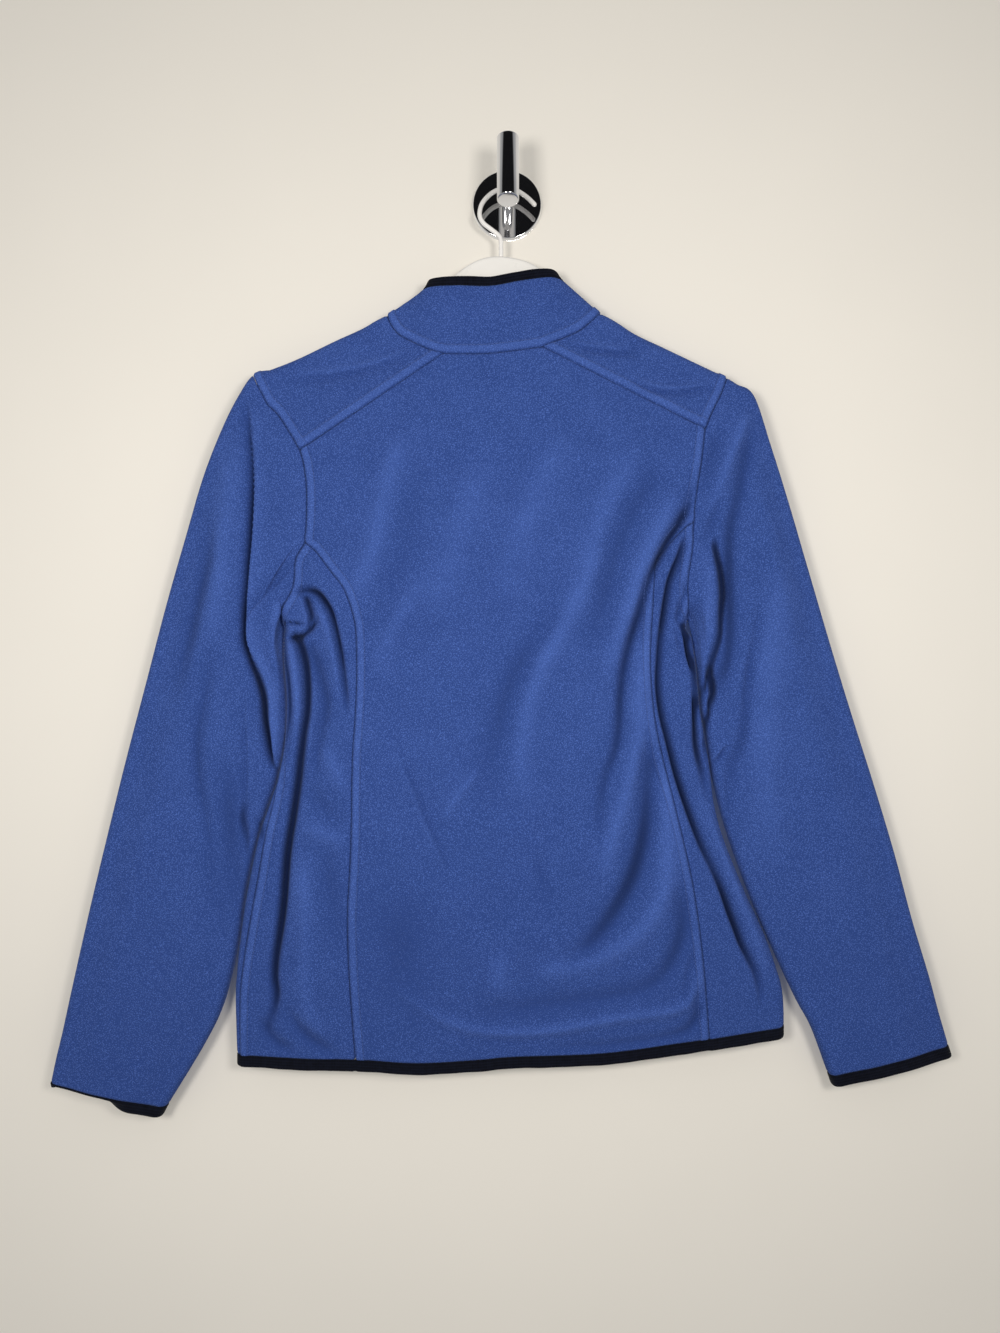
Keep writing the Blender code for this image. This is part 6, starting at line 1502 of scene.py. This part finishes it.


# %% [markdown]
# ## Fleece
#
# Micro fleece is a knit whose brushed loops curl into pebbles about 1.2 mm apart. They are soft, so the
# finish is fully rough, with a little sheen for the fibre tips. Pebbles come from smooth cells and noise
# together, in both the colour and the bump. The numbers stored in the mesh do the rest: the cloth is darker
# at seams and at stitches and lighter on the pressed bands, and the height of the folds paints shade into
# the colour in a fold and a highlight on a ridge.
# It also darkens slowly downwards.

# %% Fleece
# The third colour darkens the seams and stitches and is the painted shade in deep folds.
FLEECE_DARK, FLEECE_LIGHT, FLEECE_SEAM_AND_FOLD_SHADE = (0.024, 0.056, 0.220), (0.098, 0.190, 0.600), (0.004, 0.010, 0.045)
PEBBLES = 820.0
fleece, tree, shader, at = new_finish("fleece", 1.0, Sheen_Weight=0.15, Sheen_Roughness=0.45,
                                      Sheen_Tint=(0.35, 0.5, 1.0, 1), Specular_IOR_Level=0.15)
cells = add(tree, "ShaderNodeTexVoronoi", {"Vector": at, "Scale": PEBBLES, "Smoothness": 0.25},
            feature="SMOOTH_F1")
fibres = add(tree, "ShaderNodeTexNoise", {"Vector": at, "Scale": 1500.0, "Detail": 0.0, "Roughness": 0.5})
pebble = add(tree, "ShaderNodeMapRange", {"Value": cells.outputs["Distance"], "From Min": 0.6, "From Max": 0.0})
grain = add(tree, "ShaderNodeMath", {0: pebble.outputs[0], 1: fibres.outputs["Fac"]}, operation="ADD")
nap = add(tree, "ShaderNodeMapRange", {"Value": grain.outputs[0], "From Min": 0.55, "From Max": 1.25,
                                      "To Min": 0.02, "To Max": 0.70})
clouds = use_group(tree, cloudy, {"Vector": at, "Patches per metre": 30.0, "Low": -0.04, "High": 0.04})
tone = add(tree, "ShaderNodeMath", {0: nap.outputs[0], 1: clouds.outputs[0]}, operation="ADD")


def mark(name):
    """A number stored in the mesh."""
    return add(tree, "ShaderNodeAttribute", attribute_name=name).outputs["Fac"]


def shade(value, start, end, low, high):
    """A smooth change from one value to another."""
    return add(tree, "ShaderNodeMapRange", {"Value": value, "From Min": start, "From Max": end, "To Min": low,
                                            "To Max": high}, interpolation_type="SMOOTHSTEP").outputs[0]


def sum_of(*values, operation="ADD"):
    """All values put together by one operation, two at a time."""
    total = values[0]
    for value in values[1:]:
        total = add(tree, "ShaderNodeMath", {0: total, 1: value}, operation=operation).outputs[0]
    return total


from_seam, over_band, painted_fold_shade = mark("seam"), mark("band"), mark("painted_fold_shade")
off_stitch = add(tree, "ShaderNodeMath", {0: sum_of(over_band, -BAND)}, operation="ABSOLUTE").outputs[0]
pressed = sum_of(shade(over_band, 1.0, 2.2, 0, 1), shade(over_band, BAND - 1.2, BAND, 1, 0),
                 operation="MULTIPLY")
fall = add(tree, "ShaderNodeSeparateXYZ", {"Vector": at}).outputs["Z"]
# The colour darkens downwards, is lighter on the pressed bands, and gets painted shade in hollows and a painted
# highlight on ridges from the fold height.
tone = sum_of(tone.outputs[0], shade(fall, -0.45, -1.0, 0.0, -0.17), shade(painted_fold_shade, -5.0, 5.0, -0.26, 0.26),
              add(tree, "ShaderNodeMath", {0: pressed, 1: 0.19}, operation="MULTIPLY").outputs[0])
cloth_colour = blend(tree, tone, FLEECE_DARK, FLEECE_LIGHT)
stitched_dip = shade(off_stitch, 0.0, 1.0, 0.22, 0.0)
# Seams and stitches are darker, and folds deeper than 1.5 mm blend towards the near-black colour as painted
# shade.
dip = sum_of(shade(from_seam, 0.0, 1.0, 0.22, 0.0), stitched_dip, shade(painted_fold_shade, -1.5, -8.0, 0.0, 0.92),
             operation="MAXIMUM")
tree.links.new(blend(tree, dip, cloth_colour, FLEECE_SEAM_AND_FOLD_SHADE), shader.inputs["Base Color"])
raise_bump(tree, shader, sum_of(nap.outputs[0], stitched_dip, operation="SUBTRACT"), 0.0007, 0.9)
for piece in shirt.values():
    piece.data.materials.append(fleece)
print("pebbles about", round(1000 / PEBBLES, 1), "mm apart")

# %% [markdown]
# ## Knit, tape and thread
#
# The binding is a dense dark knit with fine ribs across its width. The zip tape is a plain weave, and the
# thread is a twisted filament with a slight gloss. All three use the same groups with other numbers.

# %% Rib, tape, thread and teeth
RIB_DARK, RIB_LIGHT = (0.0010, 0.0014, 0.0040), (0.0050, 0.0065, 0.0150)


def woven(name, dark, light, across_lines, along_lines, depth, roughness, sheen):
    """A cloth with lines in one or both directions of its UV map."""
    look, tree, shader, at = new_finish(name, roughness, Sheen_Weight=sheen, Specular_IOR_Level=0.1)
    uv = add(tree, "ShaderNodeUVMap", uv_map="cloth").outputs["UV"]
    ribs = use_group(tree, lines, {"UV": uv, "Across lines per metre": across_lines,
                                   "Along lines per metre": along_lines})
    clouds = use_group(tree, cloudy, {"Vector": at, "Patches per metre": 220.0, "Low": -0.25, "High": 0.25})
    tone = add(tree, "ShaderNodeMath", {0: ribs.outputs[0], 1: clouds.outputs[0]}, operation="ADD")
    tree.links.new(blend(tree, tone.outputs[0], dark, light), shader.inputs["Base Color"])
    raise_bump(tree, shader, tone.outputs[0], depth)
    return look


rib_finish = woven("rib_binding", RIB_DARK, RIB_LIGHT, 720.0, 420.0, 0.00035, 0.95, 0.04)
for piece in bindings.values():
    piece.data.materials.append(rib_finish)
tape_finish = woven("zip_tape", (0.018, 0.040, 0.15), (0.045, 0.085, 0.27), 1100.0, 1100.0, 0.0002, 0.85, 0.1)
for piece in tapes:
    piece.data.materials.append(tape_finish)


def moulded(name, dark, light, patches, roughness, spread, **constants):
    """A smooth finish whose colour and roughness vary in cloudy patches."""
    look, tree, shader, at = new_finish(name, roughness, **constants)
    tones = use_group(tree, cloudy, {"Vector": at, "Patches per metre": patches})
    tree.links.new(blend(tree, tones.outputs[0], dark, light), shader.inputs["Base Color"])
    rubbed = use_group(tree, cloudy, {"Vector": at, "Patches per metre": patches * 3,
                                      "Low": roughness - spread, "High": roughness + spread})
    tree.links.new(rubbed.outputs[0], shader.inputs["Roughness"])
    return look


def dress(look, slot, *pieces):
    """Give pieces a finish; the slot argument is not used."""
    for piece in pieces:
        if piece.data.materials:
            for filled in piece.material_slots:
                filled.material = look
        else:
            piece.data.materials.append(look)


dress(moulded("thread", (0.040, 0.085, 0.30), (0.075, 0.14, 0.42), 900.0, 0.6, 0.1), "fleece", stitches)
dress(moulded("zip_teeth", (0.022, 0.045, 0.15), (0.04, 0.075, 0.22), 300.0, 0.35, 0.1), "zip_teeth", teeth)

# %% [markdown]
# ## Hard finishes
#
# The slider is painted metal, the hanger glossy plastic, the hook a coated wire and the wall hook polished
# chrome. Chrome shows nothing but its surroundings, so its own colour and roughness hardly vary.

# %% Metal, plastic and chrome
dress(moulded("zip_metal", (0.028, 0.030, 0.038), (0.075, 0.078, 0.09), 400.0, 0.38, 0.1, Metallic=0.6),
      "zip_metal", frame["nodes"]["zip_slider"], frame["nodes"]["zip_pull_tab"])
dress(moulded("hanger_plastic", (0.80, 0.78, 0.74), (0.86, 0.84, 0.80), 25.0, 0.3, 0.06),
      "hanger_plastic", hanger)
dress(moulded("hook_coating", (0.82, 0.80, 0.77), (0.88, 0.86, 0.83), 60.0, 0.25, 0.06), "hook_wire", wire)
dress(moulded("chrome", (0.66, 0.66, 0.67), (0.74, 0.74, 0.75), 30.0, 0.05, 0.02, Metallic=1.0), "chrome",
      plate, peg, pin)

# %% [markdown]
# ## What each sheet was cut to
#
# Every piece of fleece is measured for the size of the flat piece it was cut from: the length of its
# longest row and column over the cloth, its area, and the 8 mm that each seam takes on both sides. The
# sizes are printed.

# %% Sheets
ALLOWANCE = 8.0             # millimetres that a seam takes


def cut_size(points, closed):
    """Width, length and area of the flat piece, in metres, with its seam allowances."""
    rows = np.concatenate([points, points[:, :1]], 1) if closed else points
    widths = np.linalg.norm(np.diff(rows, axis=1), axis=-1).sum(1)
    heights = np.linalg.norm(np.diff(rows, axis=0), axis=-1).sum(0)
    one = np.cross(rows[1:, 1:] - rows[:-1, :-1], rows[1:, :-1] - rows[:-1, 1:])
    area = np.linalg.norm(one, axis=-1).sum() / 2
    width, height = widths.max() + 2 * ALLOWANCE, heights.max() + 2 * ALLOWANCE
    area += ALLOWANCE * 2 * (widths.mean() + heights.mean())
    return (float(width * MM), float(height * MM)), float(min(area * MM * MM, width * height * MM * MM))


for name, piece in shirt.items():
    flat, area = cut_size(cut_grids[name], name.startswith("sleeve"))
    print(f"{name}: {flat[0] * 1000:.0f} x {flat[1] * 1000:.0f} mm, {area:.3f} m2")

# %% [markdown]
# ## Stage, light and camera
#
# The jacket hangs in front of a pale wall above a pale floor. Two small lamps stand beside and behind the
# camera, left and right, so the folds are lit from both sides, and a larger soft one behind the wall lights
# the jacket's front. The camera sees none of them. The wall and the floor are seen by the camera only, and
# only from their fronts, so that the jacket can be looked at from behind as well. The room is pale. A
# mirrored ray also meets a dim patch ahead and above, because polished metal needs something dark to look
# like metal, and a brighter room beyond the wall.

# %% Stage, light and camera
def aim(thing, place, target):
    """Put a light or a camera at a place and turn its -Z towards a target."""
    thing.location = place
    thing.rotation_euler = (Vector(target) - Vector(place)).to_track_quat("-Z", "Y").to_euler()


def softbox(name, place, target, size, power, colour):
    """An area light aimed at a target."""
    light = bpy.data.lights.new(name, "AREA")
    light.shape = "RECTANGLE"
    light.size, light.size_y = size
    light.energy, light.color = power, colour
    lamp = bpy.data.objects.new(name, light)
    bpy.context.scene.collection.objects.link(lamp)
    lamp.visible_camera = False
    aim(lamp, place, target)


JACKET_MIDDLE = (0, 0, -0.42)
WARM, PALER = (1.0, 0.965, 0.92), (1.0, 0.97, 0.93)
softbox("softbox_left", (-0.34, -1.0, -0.35), JACKET_MIDDLE, (0.22, 0.22), 4.9, WARM)
softbox("softbox_right", (0.33, -1.0, -0.27), JACKET_MIDDLE, (0.22, 0.22), 4.1, WARM)
softbox("softbox_front", (0.25, 1.5, 0.0), JACKET_MIDDLE, (0.5, 0.5), 13.0, PALER)

ROOM, DIM_PATCH = (0.90, 0.90, 0.90), (0.02, 0.02, 0.022)
PAST_WALL, PAST_WALL_MIRRORED = (0.35, 0.35, 0.35), (1.75, 1.68, 1.55)
world = bpy.data.worlds.new("room")
bpy.context.scene.world = world
world.use_nodes = True
tree = world.node_tree
direction = add(tree, "ShaderNodeTexCoord").outputs["Generated"]
split = add(tree, "ShaderNodeSeparateXYZ", {"Vector": direction})
mirrored = add(tree, "ShaderNodeLightPath").outputs["Is Glossy Ray"]
ahead = add(tree, "ShaderNodeMapRange", {"Value": split.outputs["Y"], "From Min": -0.20, "From Max": -0.45},
            interpolation_type="SMOOTHSTEP")
above = add(tree, "ShaderNodeMapRange", {"Value": split.outputs["Z"], "From Min": 0.05, "From Max": 0.20},
            interpolation_type="SMOOTHSTEP")
dim = add(tree, "ShaderNodeMath", {0: ahead.outputs[0], 1: above.outputs[0]}, operation="MULTIPLY")
dim = add(tree, "ShaderNodeMath", {0: dim.outputs[0], 1: mirrored}, operation="MULTIPLY")
room = blend(tree, dim.outputs[0], ROOM, DIM_PATCH)
past_wall = add(tree, "ShaderNodeMapRange", {"Value": split.outputs["Y"], "From Min": -0.05, "From Max": 0.25})
unseen = blend(tree, mirrored, PAST_WALL, PAST_WALL_MIRRORED)
room = blend(tree, past_wall.outputs[0], room, unseen)
tree.links.new(room, tree.nodes["Background"].inputs["Color"])
tree.nodes["Background"].inputs["Strength"].default_value = 0.45


def backdrop(name, corners, colour):
    """A flat painted sheet that only the camera sees, and only from its front."""
    mesh = bpy.data.meshes.new(name)
    mesh.from_pydata(corners, [], [(0, 1, 2, 3)])
    sheet = bpy.data.objects.new(name, mesh)
    bpy.context.scene.collection.objects.link(sheet)
    look, tree, shader, at = new_finish(name + "_paint", 0.75)
    tones = use_group(tree, cloudy, {"Vector": at, "Patches per metre": 6.0})
    paler = tuple(part * 1.015 for part in colour)
    tree.links.new(blend(tree, tones.outputs[0], colour, paler), shader.inputs["Base Color"])
    from_behind = add(tree, "ShaderNodeNewGeometry").outputs["Backfacing"]
    clear = add(tree, "ShaderNodeBsdfTransparent")
    either = add(tree, "ShaderNodeMixShader", {0: from_behind, 1: shader.outputs[0], 2: clear.outputs[0]})
    tree.links.new(either.outputs[0], tree.nodes["Material Output"].inputs["Surface"])
    mesh.materials.append(look)
    return sheet


STAGE, WALL_Y, FLOOR_Z, WALL_TOP = 4, 0.0005, -1.15, 2.5
foot = [(-STAGE, WALL_Y, FLOOR_Z), (STAGE, WALL_Y, FLOOR_Z)]
wall = backdrop("wall", foot + [(STAGE, WALL_Y, WALL_TOP), (-STAGE, WALL_Y, WALL_TOP)],
                (0.80, 0.765, 0.695))
floor = backdrop("floor", [(-STAGE, -STAGE, FLOOR_Z), (STAGE, -STAGE, FLOOR_Z)] + foot[::-1],
                 (0.72, 0.70, 0.66))
for sheet in (wall, floor):
    sheet.visible_diffuse = sheet.visible_glossy = sheet.visible_shadow = False

lens = bpy.data.cameras.new("camera")
lens.lens, lens.clip_start = 25.66, 0.01
camera = bpy.data.objects.new("camera", lens)
bpy.context.scene.collection.objects.link(camera)
camera.location = (-0.0064, -0.866, -0.4183)
camera.rotation_euler = (math.pi / 2, 0, 0)
bpy.context.scene.camera = camera
bpy.context.scene.view_settings.view_transform = "Standard"

# %% Sizes and finish
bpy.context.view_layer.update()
faces_made = sum(len(thing.data.loops) - 2 * len(thing.data.polygons)
                 for thing in bpy.context.scene.objects if thing.type == "MESH")
print("triangles in the scene:", faces_made)
